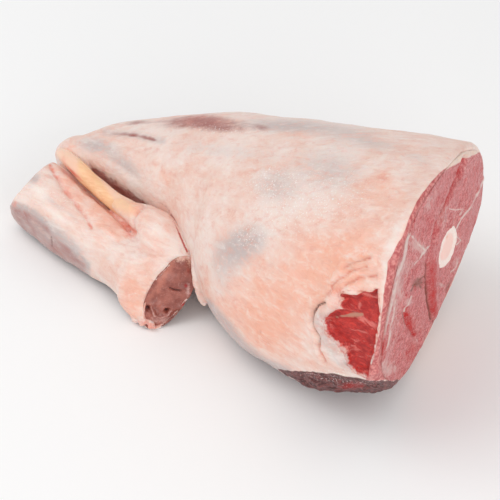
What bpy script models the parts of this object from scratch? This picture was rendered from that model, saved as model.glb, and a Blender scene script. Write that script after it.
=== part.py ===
import bpy
import math

import numpy as np

# Leg of mutton, folded at the knee and lying on its side.
# Lengths below are in drawing units of 0.9 mm; UNIT turns them into metres.
# +X runs from the knee tip to the cut face, -Y is the side of the folded shank, +Z is up.
UNIT = 0.0009
GAP = 0.36
ORIGIN_X = -3.92
ORIGIN_Y = -44.0

# Thigh: distances along X where the section is given, and the section's four extreme points
TIP_X = -167.0
TIP_CAP_X = -140.0
FACE_X = 163.0
RIM_RADIUS = 5.0
STATION_X = [-148, -130, -95, -50, -25, -10, 0, 50, 100, 140, 163]
NEAR_Y = [-14, -18, -27, -46, -62, -76, -88, -122, -138, -146, -146]
NEAR_Z = [38, 38, 40, 45, 47, 47, 48, 52, 62, 77, 86]
FAR_Y = [18, 37, 51, 57.5, 58, 57, 56, 54, 51, 50, 50]
FAR_Z = [36, 40, 46, 49, 50, 52, 53, 60, 68, 73, 76]
TOP_Y = [2, 7, 9, 0, -6, -10, -14, -30, -48, -66, -80]
TOP_Z = [54, 61, 75, 97, 111, 117, 121, 141, 160, 175, 183]
BASE_Y = [-4, 2, 6, -6, -20, -30, -38, -56, -70, -78, -80]
BASE_Z = [12, 7, 3, -1, 2, 5, 0, -3, -3, 0, 20]
NEAR_BASE_POWER = [2.2, 2.2, 2.2, 2.2, 2.0, 2.0, 1.85, 2.25, 2.2, 1.57, 1.7]
FAR_BASE_POWER = [2.6, 2.6, 2.6, 2.6, 2.6, 2.6, 2.6, 2.6, 2.6, 2.3, 1.6]
TOP_POWER = 2.2
FACE_BULGES = [(-104.0, 112.0, 30.0, 3.0), (8.0, 98.0, 26.0, 2.4), (-58.0, 150.0, 20.0, 2.0)]

# Exposed meat beside the cut face: edges of the recess as x against height
PATCH_Z = [80, 88, 96, 104, 114, 124, 136]
PATCH_LEFT_X = [150, 146, 137, 125, 129, 131, 140]
PATCH_RIGHT_X = 158.5
PATCH_DEPTH = 3.2

# Cut end of the shank at the knee: a point of its plane and the plane's direction
SHANK_END = (-160.5, -40.2, 42.2)
SHANK_END_NORMAL = (-0.84, 0.12, 0.51)

# Bones
THIGH_BONE_RADIUS = 14.2
THIGH_BONE_CENTRE = (-28.0, 93.5)
SHANK_BONE_RADIUS = 10.0
JOINT_CENTRE = (-20.4, -90.5, 25.8)
JOINT_NORMAL = (0.55, -0.75, 0.35)
JOINT_LONG = (0.28, 0.56, 0.78)
JOINT_SHORT = (-0.78, -0.33, 0.52)

# Tendon from the knee tip to the heel
TENDON_PATH = [
    (-157, -7, 43), (-146, -17, 50), (-128.5, -28, 53.5), (-112.5, -36, 52.5),
    (-96.5, -43, 52), (-80.5, -49, 52), (-66, -55, 52), (-55, -60, 49),
]
TENDON_RADIUS = [4.8, 5.7, 6.2, 6.3, 6.3, 6.5, 7.1, 7.8]


# Helpers

def curve(keys, values, at):
    """Smooth curve through the stations: cubic pieces whose slopes never overshoot."""
    keys = np.asarray(keys, float)
    values = np.asarray(values, float)
    at = np.clip(np.asarray(at, float), keys[0], keys[-1])
    step = np.diff(keys)
    slope = np.diff(values) / step
    slopes = np.zeros_like(values)
    slopes[0] = slope[0]
    slopes[-1] = slope[-1]
    for i in range(1, len(slope)):
        if slope[i - 1] * slope[i] > 0:
            left = 2 * step[i] + step[i - 1]
            right = step[i] + 2 * step[i - 1]
            slopes[i] = (left + right) / (left / slope[i - 1] + right / slope[i])
    i = np.clip(np.searchsorted(keys, at, side="right") - 1, 0, len(step) - 1)
    s = (at - keys[i]) / step[i]
    start = (2 * s**3 - 3 * s**2 + 1) * values[i] + (s**3 - 2 * s**2 + s) * step[i] * slopes[i]
    end = (3 * s**2 - 2 * s**3) * values[i + 1] + (s**3 - s**2) * step[i] * slopes[i + 1]
    return start + end


def squircle(angle, power):
    """Unit superellipse: |cos| and |sin| stretched so that c**power + s**power is 1."""
    c = np.abs(np.cos(angle))
    s = np.abs(np.sin(angle))
    size = (c**power + s**power) ** (-1.0 / power)
    return c * size, s * size


def unit(vectors):
    """Vectors of length one."""
    return vectors / np.linalg.norm(vectors, axis=-1, keepdims=True)


def new_object(name, rings, material=None):
    """Closed mesh from rings of equal count, with a fan at each end; rings are in drawing units."""
    rings = np.array(rings, float)
    rows, columns, _ = rings.shape
    ends = [rings[0].mean(axis=0), rings[-1].mean(axis=0)]
    points = np.vstack([rings.reshape(-1, 3), ends])
    points[:, 2] = np.maximum(points[:, 2], 0.0)
    points = (points - [ORIGIN_X, ORIGIN_Y, 0.0]) * UNIT
    faces = []
    first = rows * columns
    last = first + 1
    for j in range(columns):
        k = (j + 1) % columns
        faces.append((first, k, j))
        for i in range(rows - 1):
            a = i * columns
            b = a + columns
            faces.append((a + j, a + k, b + k, b + j))
        end = (rows - 1) * columns
        faces.append((last, end + j, end + k))
    mesh = bpy.data.meshes.new(name)
    mesh.from_pydata(points.tolist(), [], faces)
    mesh.update()
    thing = bpy.data.objects.new(name, mesh)
    bpy.context.collection.objects.link(thing)
    if signed_volume(mesh) < 0:
        mesh.flip_normals()
    for polygon in mesh.polygons:
        polygon.use_smooth = True
    if material is not None:
        mesh.materials.append(material)
    return thing


def signed_volume(mesh):
    """Volume inside the faces, negative where they face inward."""
    mesh.calc_loop_triangles()
    count = len(mesh.loop_triangles)
    corners = np.empty(count * 3, int)
    mesh.loop_triangles.foreach_get("vertices", corners)
    places = np.empty(len(mesh.vertices) * 3)
    mesh.vertices.foreach_get("co", places)
    a, b, c = places.reshape(-1, 3)[corners.reshape(-1, 3)].transpose(1, 0, 2)
    return float(np.sum(a * np.cross(b, c)) / 6.0)


def loft(centres, longs, shorts, long_radii, short_radii, rows, columns, power=2.0, keys=None):
    """Rings along the centres, each an oval spanned by a long and a short direction."""
    keys = np.linspace(0.0, 1.0, len(centres)) if keys is None else np.array(keys, float)
    along = np.linspace(0.0, 1.0, rows)
    centres, longs, shorts = [
        np.stack([curve(keys, np.array(v, float)[:, axis], along) for axis in range(3)], axis=-1)
        for v in (centres, longs, shorts)
    ]
    longs = unit(longs)
    shorts = unit(shorts - longs * np.sum(longs * shorts, axis=1, keepdims=True))
    a = curve(keys, long_radii, along)
    b = curve(keys, short_radii, along)
    angle = np.linspace(0.0, 2.0 * math.pi, columns, endpoint=False)
    c, s = squircle(angle, power)
    c = c * np.sign(np.cos(angle))
    s = s * np.sign(np.sin(angle))
    long_part = (a[:, None] * s[None, :])[..., None] * longs[:, None, :]
    short_part = (b[:, None] * c[None, :])[..., None] * shorts[:, None, :]
    return centres[:, None, :] + long_part + short_part


def tube(path, side_radii, up_radii, rows, columns, power=2.0, round_ends=(0.0, 0.0)):
    """Rings square to a smooth path, with its ends rounded over the lengths in round_ends."""
    keys = np.linspace(0.0, 1.0, len(path))
    along = 0.5 - 0.5 * np.cos(np.linspace(0.0, math.pi, rows))
    path = np.array(path, float)
    centres = np.stack([curve(keys, path[:, axis], along) for axis in range(3)], axis=-1)
    ahead = unit(np.gradient(centres, axis=0))
    side = unit(np.cross(ahead, [0.0, 0.0, 1.0]))
    up = np.cross(side, ahead)
    length = np.sum(np.linalg.norm(np.diff(centres, axis=0), axis=1))
    size = np.ones(rows)
    for end, distance in zip(round_ends, (along * length, (1.0 - along) * length)):
        if end > 0.0:
            inset = np.clip(1.0 - distance / end, 0.0, 0.97)
            size = size * np.sqrt(1.0 - inset**2)
    angle = np.linspace(0.0, 2.0 * math.pi, columns, endpoint=False)
    c, s = squircle(angle, power)
    c = c * np.sign(np.cos(angle))
    s = s * np.sign(np.sin(angle))
    a = curve(keys, side_radii, along) * size
    b = curve(keys, up_radii, along) * size
    side_part = (a[:, None] * c[None, :])[..., None] * side[:, None, :]
    up_part = (b[:, None] * s[None, :])[..., None] * up[:, None, :]
    return centres[:, None, :] + side_part + up_part


def pressed(rings, point, normal):
    """Rings with all that lies beyond a plane pressed back onto it."""
    normal = unit(np.array(normal, float))
    beyond = np.maximum((rings - np.array(point, float)) @ normal, 0.0)
    return rings - beyond[..., None] * normal


def widened(rings, first, last):
    """Tunnel for the rings: pushed out square to the surface by the gap, and run on at both ends."""
    ahead = np.gradient(rings, axis=0)
    around = np.roll(rings, -1, axis=1) - np.roll(rings, 1, axis=1)
    middle = rings.mean(axis=1, keepdims=True)
    outward = unit(np.cross(ahead, around))
    outward *= np.sign(np.sum(outward * (rings - middle)))
    wide = rings + outward * GAP
    start = wide[:1] + unit(middle[0] - middle[1]) * first
    end = wide[-1:] + unit(middle[-1] - middle[-2]) * last
    return np.concatenate([start, wide, end])


def material(name, color, roughness, subsurface=0.0):
    """Plain Principled material."""
    made = bpy.data.materials.new(name)
    made.use_nodes = True
    shader = made.node_tree.nodes["Principled BSDF"]
    shader.inputs["Base Color"].default_value = (*color, 1.0)
    shader.inputs["Roughness"].default_value = roughness
    shader.inputs["Subsurface Weight"].default_value = subsurface
    made.diffuse_color = (*color, 1.0)
    return made


def combine(body, tool, operation):
    """Adds the tool to the body or cuts it away, and hides the tool."""
    step = body.modifiers.new(tool.name, "BOOLEAN")
    step.operation = operation
    step.object = tool
    step.solver = "EXACT"
    tool.hide_render = True
    tool.display_type = "WIRE"


# Thigh

def thigh_section(x, angle):
    """Point of the thigh's section: four superellipse quarters that meet at its extreme points."""
    quarter = np.floor(angle / (math.pi / 2)).astype(int) % 4
    top_power = np.full_like(x, TOP_POWER)
    powers = [top_power, top_power, curve(STATION_X, FAR_BASE_POWER, x), curve(STATION_X, NEAR_BASE_POWER, x)]
    c, s = squircle(angle, np.choose(quarter, powers))
    near = (quarter == 0) | (quarter == 3)
    side_y = np.where(near, curve(STATION_X, NEAR_Y, x), curve(STATION_X, FAR_Y, x))
    side_z = np.where(near, curve(STATION_X, NEAR_Z, x), curve(STATION_X, FAR_Z, x))
    end_y = np.where(quarter <= 1, curve(STATION_X, TOP_Y, x), curve(STATION_X, BASE_Y, x))
    end_z = np.where(quarter <= 1, curve(STATION_X, TOP_Z, x), curve(STATION_X, BASE_Z, x))
    return end_y + (side_y - end_y) * c, side_z + (end_z - side_z) * s


def thigh_rings(rows, columns, face_rows):
    """Rings from the rounded knee tip to the cut face, then shrinking rings over the face."""
    t = np.linspace(0.004, 1.0, rows)
    x = TIP_X + (FACE_X - TIP_X) * (0.35 * t + 0.65 * t * t * (3.0 - 2.0 * t))
    angle = np.linspace(0.0, 2.0 * math.pi, columns, endpoint=False)
    x, angle = np.meshgrid(x, angle, indexing="ij")
    y, z = thigh_section(x, angle)
    middle_y = (curve(STATION_X, NEAR_Y, x) + curve(STATION_X, FAR_Y, x)) / 2.0
    middle_z = (curve(STATION_X, TOP_Z, x) + curve(STATION_X, BASE_Z, x)) / 2.0
    tip = np.sqrt(1.0 - np.clip((TIP_CAP_X - x) / (TIP_CAP_X - TIP_X), 0.0, 1.0) ** 2)
    rim = np.clip((x - FACE_X + RIM_RADIUS) / RIM_RADIUS, 0.0, 1.0)
    size = tip * (1.0 - RIM_RADIUS / 80.0 * (1.0 - np.sqrt(1.0 - rim**2)))
    y = middle_y + (y - middle_y) * size
    z = middle_z + (z - middle_z) * size
    shrink = np.linspace(1.0, 0.12, face_rows + 1)[1:, None]
    face_y = middle_y[-1] + (y[-1] - middle_y[-1]) * shrink
    face_z = middle_z[-1] + (z[-1] - middle_z[-1]) * shrink
    face_x = np.full_like(face_y, FACE_X)
    for bulge_y, bulge_z, width, height in FACE_BULGES:
        away = ((face_y - bulge_y) ** 2 + (face_z - bulge_z) ** 2) / width**2
        face_x += height * np.exp(-away)
    return np.stack([np.vstack([x, face_x]), np.vstack([y, face_y]), np.vstack([z, face_z])], axis=-1)


def near_side(x, z):
    """Y of the thigh's near surface at a height."""
    middle = curve(STATION_X, NEAR_Z, x)
    upper = z > middle
    end_y = np.where(upper, curve(STATION_X, TOP_Y, x), curve(STATION_X, BASE_Y, x))
    end_z = np.where(upper, curve(STATION_X, TOP_Z, x), curve(STATION_X, BASE_Z, x))
    power = np.where(upper, TOP_POWER, curve(STATION_X, NEAR_BASE_POWER, x))
    s = np.abs((z - middle) / (end_z - middle))
    return end_y + (curve(STATION_X, NEAR_Y, x) - end_y) * (1.0 - s**power) ** (1.0 / power)


def patch_rings(rows, columns):
    """Cutter for the exposed meat: a sheet that follows the near surface, thinner at both ends."""
    t = np.linspace(0.0, 1.0, rows)
    z = PATCH_Z[0] + (PATCH_Z[-1] - PATCH_Z[0]) * t
    left = curve(PATCH_Z, PATCH_LEFT_X, z) + 1.2 * np.sin(z * 1.3)
    u = np.linspace(0.0, 1.0, columns)
    x = left[:, None] + (PATCH_RIGHT_X - left[:, None]) * u[None, :]
    z = np.repeat(z[:, None], columns, axis=1)
    y = near_side(x, z)
    fade = np.sqrt(np.sin(math.pi * (0.04 + 0.92 * t)))
    depth = PATCH_DEPTH * fade[:, None] * (1.0 - 0.5 * u[None, :] ** 3)
    outer = np.stack([x, y - 4.0, z], axis=-1)
    inner = np.stack([x, y + depth, z], axis=-1)
    return np.concatenate([outer, inner[:, ::-1]], axis=1)


def build_flesh(surface):
    """Thigh, knee, shank, hock and heel in one body, with its cuts, recesses and tunnels."""
    body = new_object("leg_flesh", thigh_rings(46, 50, 6), surface)

    knee = tube([(-157, -22, 25), (-142, -25, 26), (-114, -36, 25), (-82, -48, 24), (-64, -54, 22)],
                [15, 18, 17, 14, 10], [17, 19, 17, 14, 10], 12, 18, round_ends=(12.0, 6.0))
    shank = tube([(-170, -39, 30), (-150, -45, 28), (-118, -57, 26), (-90, -66, 25), (-58, -77, 25)],
                 [22, 25, 24, 23, 20], [25, 28.5, 26.5, 25, 21], 22, 30, power=2.4, round_ends=(7.0, 0.0))
    shank = pressed(shank, SHANK_END, SHANK_END_NORMAL)
    hock = loft([(-80, -69, 25), (-52, -79, 25.5), (-32, -91, 25), JOINT_CENTRE],
                [(0, 0, 1), (0.1, 0.2, 0.97), (0.25, 0.5, 0.83), JOINT_LONG],
                [(-0.33, -0.93, 0), (-0.4, -0.9, 0.1), (-0.7, -0.6, 0.3), JOINT_SHORT],
                [22, 23.5, 27.5, 32.5], [22, 23, 20, 15.2], 13, 30, power=2.2, keys=[0, 0.45, 0.85, 1])
    heel = loft([(-66, -52, 54), (-56, -56, 51.5), (-38, -65, 46), (-24, -76, 40.5), (-17, -82, 38)],
                [(0.2, 0.2, 1), (0.2, 0.25, 1), (0.2, 0.3, 0.95), (0.25, 0.5, 0.85), JOINT_LONG],
                [(-0.55, -0.83, 0), (-0.55, -0.83, 0), (-0.6, -0.75, 0.1), (-0.75, -0.5, 0.3), JOINT_SHORT],
                [9, 14, 18, 17.5, 14.5], [9, 14, 18, 16.5, 12], 14, 24, power=2.1)
    flap = tube([(-12, -64, 64), (-7, -75, 50), (-3, -81.5, 36), (3, -86, 18)],
                [3.2, 4, 4, 4.4], [3.6, 4, 4, 4.8], 9, 10, round_ends=(5.0, 5.0))
    shred = tube([(-46, -98, 16), (-42, -105, 9), (-38, -110, 3.5)],
                 [3, 3.4, 2.4], [4, 3.6, 2.4], 7, 8, round_ends=(3.0, 3.0))
    for name, rings in [("knee_web", knee), ("shank", shank), ("hock", hock), ("heel", heel),
                        ("notch_flap", flap), ("torn_end", shred)]:
        combine(body, new_object(name, rings), "UNION")

    # Slits where the muscles part on the cut face and beside the exposed meat: path and half-width
    slits = [
        ("face_seam", [(164.5, -23, 166), (164.5, -41, 155), (164.5, -50, 140), (164.5, -65, 121)], 2.2),
        ("face_crevice", [(164.5, -100, 108), (165.0, -93, 88), (164.5, -87, 66)], 3.0),
        ("face_slit", [(165.0, -64, 96), (165.0, -58, 74), (164.5, -52, 52)], 2.6),
        ("fat_crevice", [(112, -138, 108), (117, -142, 97), (121, -144.5, 84)], 2.4),
    ]
    combine(body, new_object("meat_recess", patch_rings(16, 7)), "DIFFERENCE")
    for name, path, width in slits:
        radii = [width] * len(path)
        cutter = tube(path, radii, radii, 9, 8, round_ends=(width, width))
        combine(body, new_object(name, cutter), "DIFFERENCE")

    combine(body, new_object("thigh_bone_tunnel", widened(thigh_bone_rings(), 5.0, 1.0)), "DIFFERENCE")
    combine(body, new_object("shank_bone_tunnel", widened(shank_bone_rings(), 2.0, 1.0)), "DIFFERENCE")
    combine(body, new_object("tendon_tunnel", widened(tendon_rings(), 1.0, 1.0)), "DIFFERENCE")
    return body


# Bones

def thigh_bone_rings():
    """Thigh bone from the cut face into the knee, a little oval and thinner at half its length."""
    y, z = THIGH_BONE_CENTRE
    path = [(FACE_X + 0.7, y, z), (FACE_X - 40, y + 4, z - 4), (20, -8, 78), (-70, 8, 54), (-136, 15, 38)]
    side = np.array([1.0, 0.98, 0.8, 0.78, 0.6]) * THIGH_BONE_RADIUS
    return tube(path, side, side * 1.05, 12, 18)


def build_thigh_bone(surface):
    """Bone whose sawn end shows in the cut face."""
    return new_object("thigh_bone", thigh_bone_rings(), surface)


def shank_bone_rings():
    """Shank bone from the open hock joint to the knee; its joint end spreads to an oval."""
    centre = np.array(JOINT_CENTRE)
    outward = unit(np.array(JOINT_NORMAL))
    r = SHANK_BONE_RADIUS
    centres = [centre + outward * 0.6, centre - outward * 3.0, (-30, -87, 25.5),
               (-52, -79, 25.5), (-118, -57, 26), (-146, -46, 27)]
    longs = [JOINT_LONG, JOINT_LONG, JOINT_LONG, (0.1, 0.2, 0.97), (0, 0, 1), (0, 0, 1)]
    shorts = [JOINT_SHORT, JOINT_SHORT, JOINT_SHORT, (-0.4, -0.9, 0.1), (-0.33, -0.93, 0), (-0.33, -0.93, 0)]
    long_radii = [30, 28.5, 20, 1.15 * r, r, 0.7 * r]
    short_radii = [13, 12.6, 11.8, 1.1 * r, r, 0.7 * r]
    keys = [0, 0.12, 0.3, 0.5, 0.85, 1]
    return loft(centres, longs, shorts, long_radii, short_radii, 18, 20, power=2.1, keys=keys)


def build_shank_bone(surface):
    """Bone whose joint end shows at the hock."""
    return new_object("shank_bone", shank_bone_rings(), surface)


# Tendon

def tendon_rings():
    """Tendon as a round strap that spreads where it enters the heel."""
    radii = np.array(TENDON_RADIUS)
    return tube(TENDON_PATH, radii, radii, 18, 14)


def build_tendon(surface):
    """Tendon between the knee tip and the heel."""
    return new_object("tendon", tendon_rings(), surface)


for old in list(bpy.data.objects):
    bpy.data.objects.remove(old, do_unlink=True)

flesh = material("flesh", (0.72, 0.47, 0.40), 0.42, 0.1)
bone = material("bone", (0.82, 0.64, 0.56), 0.5)
cartilage = material("cartilage", (0.44, 0.16, 0.13), 0.35)
sinew = material("sinew", (0.85, 0.55, 0.34), 0.38)

build_flesh(flesh)
build_thigh_bone(bone)
build_shank_bone(cartilage)
build_tendon(sinew)
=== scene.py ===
import bpy
import numpy as np
from mathutils import Matrix


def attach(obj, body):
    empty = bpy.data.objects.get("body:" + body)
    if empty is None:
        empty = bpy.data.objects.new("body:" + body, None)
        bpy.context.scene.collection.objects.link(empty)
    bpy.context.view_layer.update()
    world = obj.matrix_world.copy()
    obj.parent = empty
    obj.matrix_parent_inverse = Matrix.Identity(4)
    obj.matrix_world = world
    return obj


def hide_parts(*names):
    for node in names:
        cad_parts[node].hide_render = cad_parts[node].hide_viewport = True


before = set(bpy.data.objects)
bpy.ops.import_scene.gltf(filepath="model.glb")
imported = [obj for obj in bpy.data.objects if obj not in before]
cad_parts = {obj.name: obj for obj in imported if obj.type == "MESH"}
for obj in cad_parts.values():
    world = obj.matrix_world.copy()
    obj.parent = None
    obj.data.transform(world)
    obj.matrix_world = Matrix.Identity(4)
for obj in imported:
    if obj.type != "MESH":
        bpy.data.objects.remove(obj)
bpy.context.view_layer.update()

# Camera
# A long lens looks down on the shank side of the leg, a little from the sawn end. The colours below
# are laid by pixels of its 500 by 500 frame, so it comes first.
AZIMUTH = np.radians(26.0)
ELEVATION = np.radians(43.0)
LENS_MM = 135.0
SENSOR_MM = 36.0
DISTANCE = 1.2789
AIM = np.array([0.0035, 0.0396, 0.0])
PHOTO_SIDE = 500

camera_back = np.array([
    np.sin(AZIMUTH) * np.cos(ELEVATION),
    -np.cos(AZIMUTH) * np.cos(ELEVATION),
    np.sin(ELEVATION),
])
camera_right = np.array([np.cos(AZIMUTH), np.sin(AZIMUTH), 0.0])
camera_up = np.cross(camera_back, camera_right)


def standing(right, up, back, place):
    """Matrix of a camera or lamp at a place, which looks away from its back."""
    return Matrix([[right[i], up[i], back[i], place[i]] for i in range(3)] + [[0.0, 0.0, 0.0, 1.0]])


camera_data = bpy.data.cameras.new("camera")
camera_data.lens = LENS_MM
camera_data.sensor_width = SENSOR_MM
camera = bpy.data.objects.new("camera", camera_data)
camera.matrix_world = standing(camera_right, camera_up, camera_back, AIM + DISTANCE * camera_back)
bpy.context.scene.collection.objects.link(camera)
bpy.context.scene.camera = camera


def seen_at(places):
    """Pixel where each place in metres shows: its offsets right and up over its depth, times the focal length."""
    from_aim = places - AIM
    depth = DISTANCE - from_aim @ camera_back
    focal = PHOTO_SIDE * LENS_MM / SENSOR_MM
    middle = PHOTO_SIDE / 2.0
    return np.stack([
        middle + focal * (from_aim @ camera_right) / depth,
        middle - focal * (from_aim @ camera_up) / depth,
    ], axis=-1)


# Thigh
# The round of the leg under its cover of fat and thin skin, which the butcher trimmed away near the
# cut so that a patch of bare meat shows. Lengths are in units of 0.9 mm.
UNIT = 0.0009
ORIGIN = np.array([-3.92, -44.0, 0.0])
TIP_X = -167.0
TIP_CAP_X = -140.0
FACE_X = 163.0
RIM_RADIUS = 5.0
FACE_RADIUS = 80.0
STATION_X = [-148, -130, -95, -50, -25, -10, 0, 50, 100, 140, 163]
NEAR_Y = [-14, -18, -27, -46, -62, -76, -88, -122, -138, -146, -146]
NEAR_Z = [38, 38, 40, 45, 47, 47, 48, 52, 62, 77, 86]
FAR_Y = [18, 37, 51, 57.5, 58, 57, 56, 54, 51, 50, 50]
FAR_Z = [36, 40, 46, 49, 50, 52, 53, 60, 68, 73, 76]
TOP_Y = [2, 7, 9, 0, -6, -10, -14, -30, -48, -66, -80]
TOP_Z = [54, 61, 75, 97, 111, 117, 121, 141, 160, 175, 183]
BASE_Y = [-4, 2, 6, -6, -20, -30, -38, -56, -70, -78, -80]
BASE_Z = [12, 7, 3, -1, 2, 5, 0, -3, -3, 0, 20]
NEAR_BASE_POWER = [2.2, 2.2, 2.2, 2.2, 2.0, 2.0, 1.85, 2.25, 2.2, 1.57, 1.7]
FAR_BASE_POWER = [2.6, 2.6, 2.6, 2.6, 2.6, 2.6, 2.6, 2.6, 2.6, 2.3, 1.6]
TOP_POWER = 2.2

# Features of the fat cover, by the pixels where they show
MEAT_PATCH = [(343, 292), (357, 291), (372, 291), (378, 289), (380, 312), (376, 337), (373, 356), (369, 373),
              (358, 371), (350, 363), (347, 353), (341, 344), (333, 337), (328, 330), (325, 320), (333, 312),
              (342, 305)]
FAT_FLAP = [(316, 306), (326, 290), (344, 282), (372, 282), (382, 290), (380, 372), (366, 378), (344, 372),
            (330, 362), (321, 346), (315, 334), (311, 320)]
FLAP_CREVICE = [(325, 303), (318, 306), (313, 313), (312, 322), (315, 331), (318.5, 337), (320, 345)]
PATCH_FAT = [(354, 293, 9, 1.6, 4, 0.7), (344, 308, 9, 1.3, 18, 0.6), (360, 310, 6, 1.0, 20, 0.5),
             (356, 351, 9, 2.2, 12, 0.7), (368, 328, 6, 1.0, 55, 0.45), (364, 361, 3, 1.2, 0, 0.5),
             (348, 346, 3, 2, 0, 0.5), (345, 299, 4, 2, 0, 0.5), (352, 330, 7, 0.9, 15, 0.45),
             (360, 301, 8, 0.8, -10, 0.4)]
PATCH_SHADE = [(347, 362, 3, 7, -35, 0.7), (354, 313.2, 9, 1.2, 8, 0.8), (369, 321, 7, 1.5, 8, 0.6),
               (330, 341, 1.5, 6, -40, 0.5)]
FLAP_LOBES = [(340, 352, 6, 6, 0, 1.0), (333, 335, 5, 9, -30, 0.6), (328, 314, 6, 7, 20, 0.6),
              (344, 288, 10, 4, -8, 0.6)]
KNIFE_SLIT = [(334, 318), (345, 316.8), (360, 316.2)]
FOLDS = [
    [(334, 287), (341, 278), (352, 271), (367, 267)],
    [(340, 291), (348, 283), (359, 278), (375, 276)],
    [(328, 296), (336, 289), (348, 286)],
    [(345, 268), (356, 262), (371, 258)],
    [(319, 346), (322, 354), (324, 362)],
]
SEAM_GROOVE = [(104, 131), (122, 133), (142, 136), (163, 141)]
# Painted shade: a blue-grey and brown band along the lower edge, where the leg curves under towards the table
LOWER_EDGE_SHADE = [(208, 304), (225, 323), (243, 346), (264, 364), (286, 372)]
UNDERSIDE = [(258, 368), (290, 371), (318, 372), (345, 376), (369, 381), (400, 380), (430, 376), (430, 420),
             (258, 420)]
# The hollow behind the tendon: its brown is muscle colour and painted shade together
RECESS = [(88, 161), (97, 167), (107, 175), (117, 183), (129, 191), (143, 201), (150, 208), (132, 214), (108, 200),
          (88, 180)]
# Where the heel presses on the thigh: a line of painted shade in the crease, drawn red, brown and dark
HEEL_CONTACT = [(142, 202), (152, 201), (161, 203), (167, 208), (172, 217), (177, 228), (182, 240), (187, 252)]
CUT_SIDE = [(476, 152), (458, 160), (438, 174), (427, 187), (417, 200), (408, 221), (402, 238), (394, 250),
            (388, 262), (386, 280), (383, 300), (380, 325), (374, 353), (366, 380), (500, 380), (500, 152)]
# Tints by ovals; the blue-grey ovals round (241, 247) are painted shade in a shallow hollow of the fat
TINTS = {
    "blue": [(287, 127, 60, 8, 3, 0.9), (124, 167, 26, 12, 38, 0.85), (96, 146, 22, 9, 10, 0.9),
             (241, 247, 30, 20, -30, 1.0), (243, 243, 18, 12, -30, 0.8), (275, 186, 26, 20, 10, 0.7),
             (330, 170, 40, 26, 10, 0.65), (365, 140, 45, 10, 12, 0.65), (215, 150, 60, 10, 5, 0.45),
             (420, 160, 20, 8, 20, 0.4), (225, 275, 14, 30, -10, 0.45)],
    "peach": [(345, 262, 42, 46, 0, 0.95), (262, 325, 62, 36, 35, 0.9), (300, 285, 60, 40, 0, 0.75),
              (385, 190, 24, 32, 20, 0.6), (165, 172, 18, 18, 0, 0.5), (72, 150, 12, 10, 0, 0.6),
              (360, 300, 30, 10, 0, 0.5), (185, 225, 14, 24, -30, 0.3)],
    "brown": [(207, 123, 44, 9, 2, 0.75), (196, 121, 26, 6, 0, 0.4), (137, 122, 20, 3, -5, 0.6),
              (228, 129, 24, 5, 6, 0.5), (172, 125, 14, 5, -5, 0.4), (262, 128, 10, 3, 0, 0.6),
              (140, 137, 22, 4, 8, 0.4), (240, 260, 12, 5, -30, 0.25)],
    "pink": [(383, 178, 9, 7, 0, 0.7), (236, 302, 9, 7, 0, 0.6), (266, 342, 10, 7, 30, 0.6),
             (440, 148, 10, 3, 15, 0.5), (200, 122, 34, 8, 0, 1.0), (345, 240, 30, 16, 0, 0.35),
             (300, 250, 24, 12, 0, 0.3), (400, 215, 10, 6, 30, 0.4), (318, 275, 12, 10, 0, 0.35)],
    "white": [(396, 236, 8, 42, 22, 0.9), (385, 292, 5, 32, 4, 0.95), (440, 156, 30, 6, 20, 0.5),
              (330, 288, 16, 6, -30, 0.4), (338, 356, 12, 10, 45, 0.7), (130, 179, 26, 7, 38, 1.0),
              (200, 245, 6, 30, -8, 0.5), (180, 205, 10, 8, 30, 0.4), (112, 164, 14, 3, 30, 0.6),
             (250, 236, 20, 5, -25, 0.6), (268, 178, 22, 4, 10, 0.6), (320, 335, 5, 26, 5, 0.6)],
    "glint": [(275, 186, 28, 20, 10, 1.0), (330, 190, 40, 26, 0, 0.7), (250, 236, 20, 12, -20, 1.0),
              (215, 130, 44, 6, 4, 0.9), (300, 215, 60, 30, 0, 0.5), (345, 330, 24, 40, 0, 0.6),
              (340, 378, 60, 8, 5, 1.0)],
}
RED_EDGE = [(352, 386, 22, 5, 0, 0.9), (400, 384, 20, 4, 0, 0.6)]

# Tints of the side that doesn't show, as patches of noise: strength, size, seed, and its low and high ends
FAR_TINTS = {
    "blue": (0.6, 40.0, 21, -0.2, 0.6),
    "peach": (0.8, 48.0, 22, -0.3, 0.5),
    "brown": (0.4, 36.0, 23, 0.2, 0.8),
    "pink": (0.5, 30.0, 24, 0.3, 0.8),
    "glint": (0.6, 44.0, 25, 0.0, 0.6),
}

# Distances to the edge of a patch are stored with this added, so that none is below zero
INSIDE = 6.0

# What all the moist surfaces share: their mirror light, and how far red, green and blue light soaks in
MOIST_SPECULAR = 0.4
SOAK_BY_COLOUR = (1.0, 0.45, 0.3)


def tone(red, green, blue):
    """Linear colour from the 0 to 255 values that a screen shows."""
    shown = np.array([red, green, blue]) / 255.0
    linear = np.where(shown <= 0.04045, shown / 12.92, ((shown + 0.055) / 1.055) ** 2.4)
    return (*linear.tolist(), 1.0)


def curve(keys, values, at):
    """Smooth curve through the stations: cubic pieces whose slopes never overshoot."""
    keys = np.asarray(keys, float)
    values = np.asarray(values, float)
    at = np.clip(np.asarray(at, float), keys[0], keys[-1])
    step = np.diff(keys)
    slope = np.diff(values) / step
    slopes = np.zeros_like(values)
    slopes[0] = slope[0]
    slopes[-1] = slope[-1]
    for i in range(1, len(slope)):
        if slope[i - 1] * slope[i] > 0:
            left = 2 * step[i] + step[i - 1]
            right = step[i] + 2 * step[i - 1]
            slopes[i] = (left + right) / (left / slope[i - 1] + right / slope[i])
    i = np.clip(np.searchsorted(keys, at, side="right") - 1, 0, len(step) - 1)
    s = (at - keys[i]) / step[i]
    start = (2 * s**3 - 3 * s**2 + 1) * values[i] + (s**3 - 2 * s**2 + s) * step[i] * slopes[i]
    end = (3 * s**2 - 2 * s**3) * values[i + 1] + (s**3 - s**2) * step[i] * slopes[i + 1]
    return start + end


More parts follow.
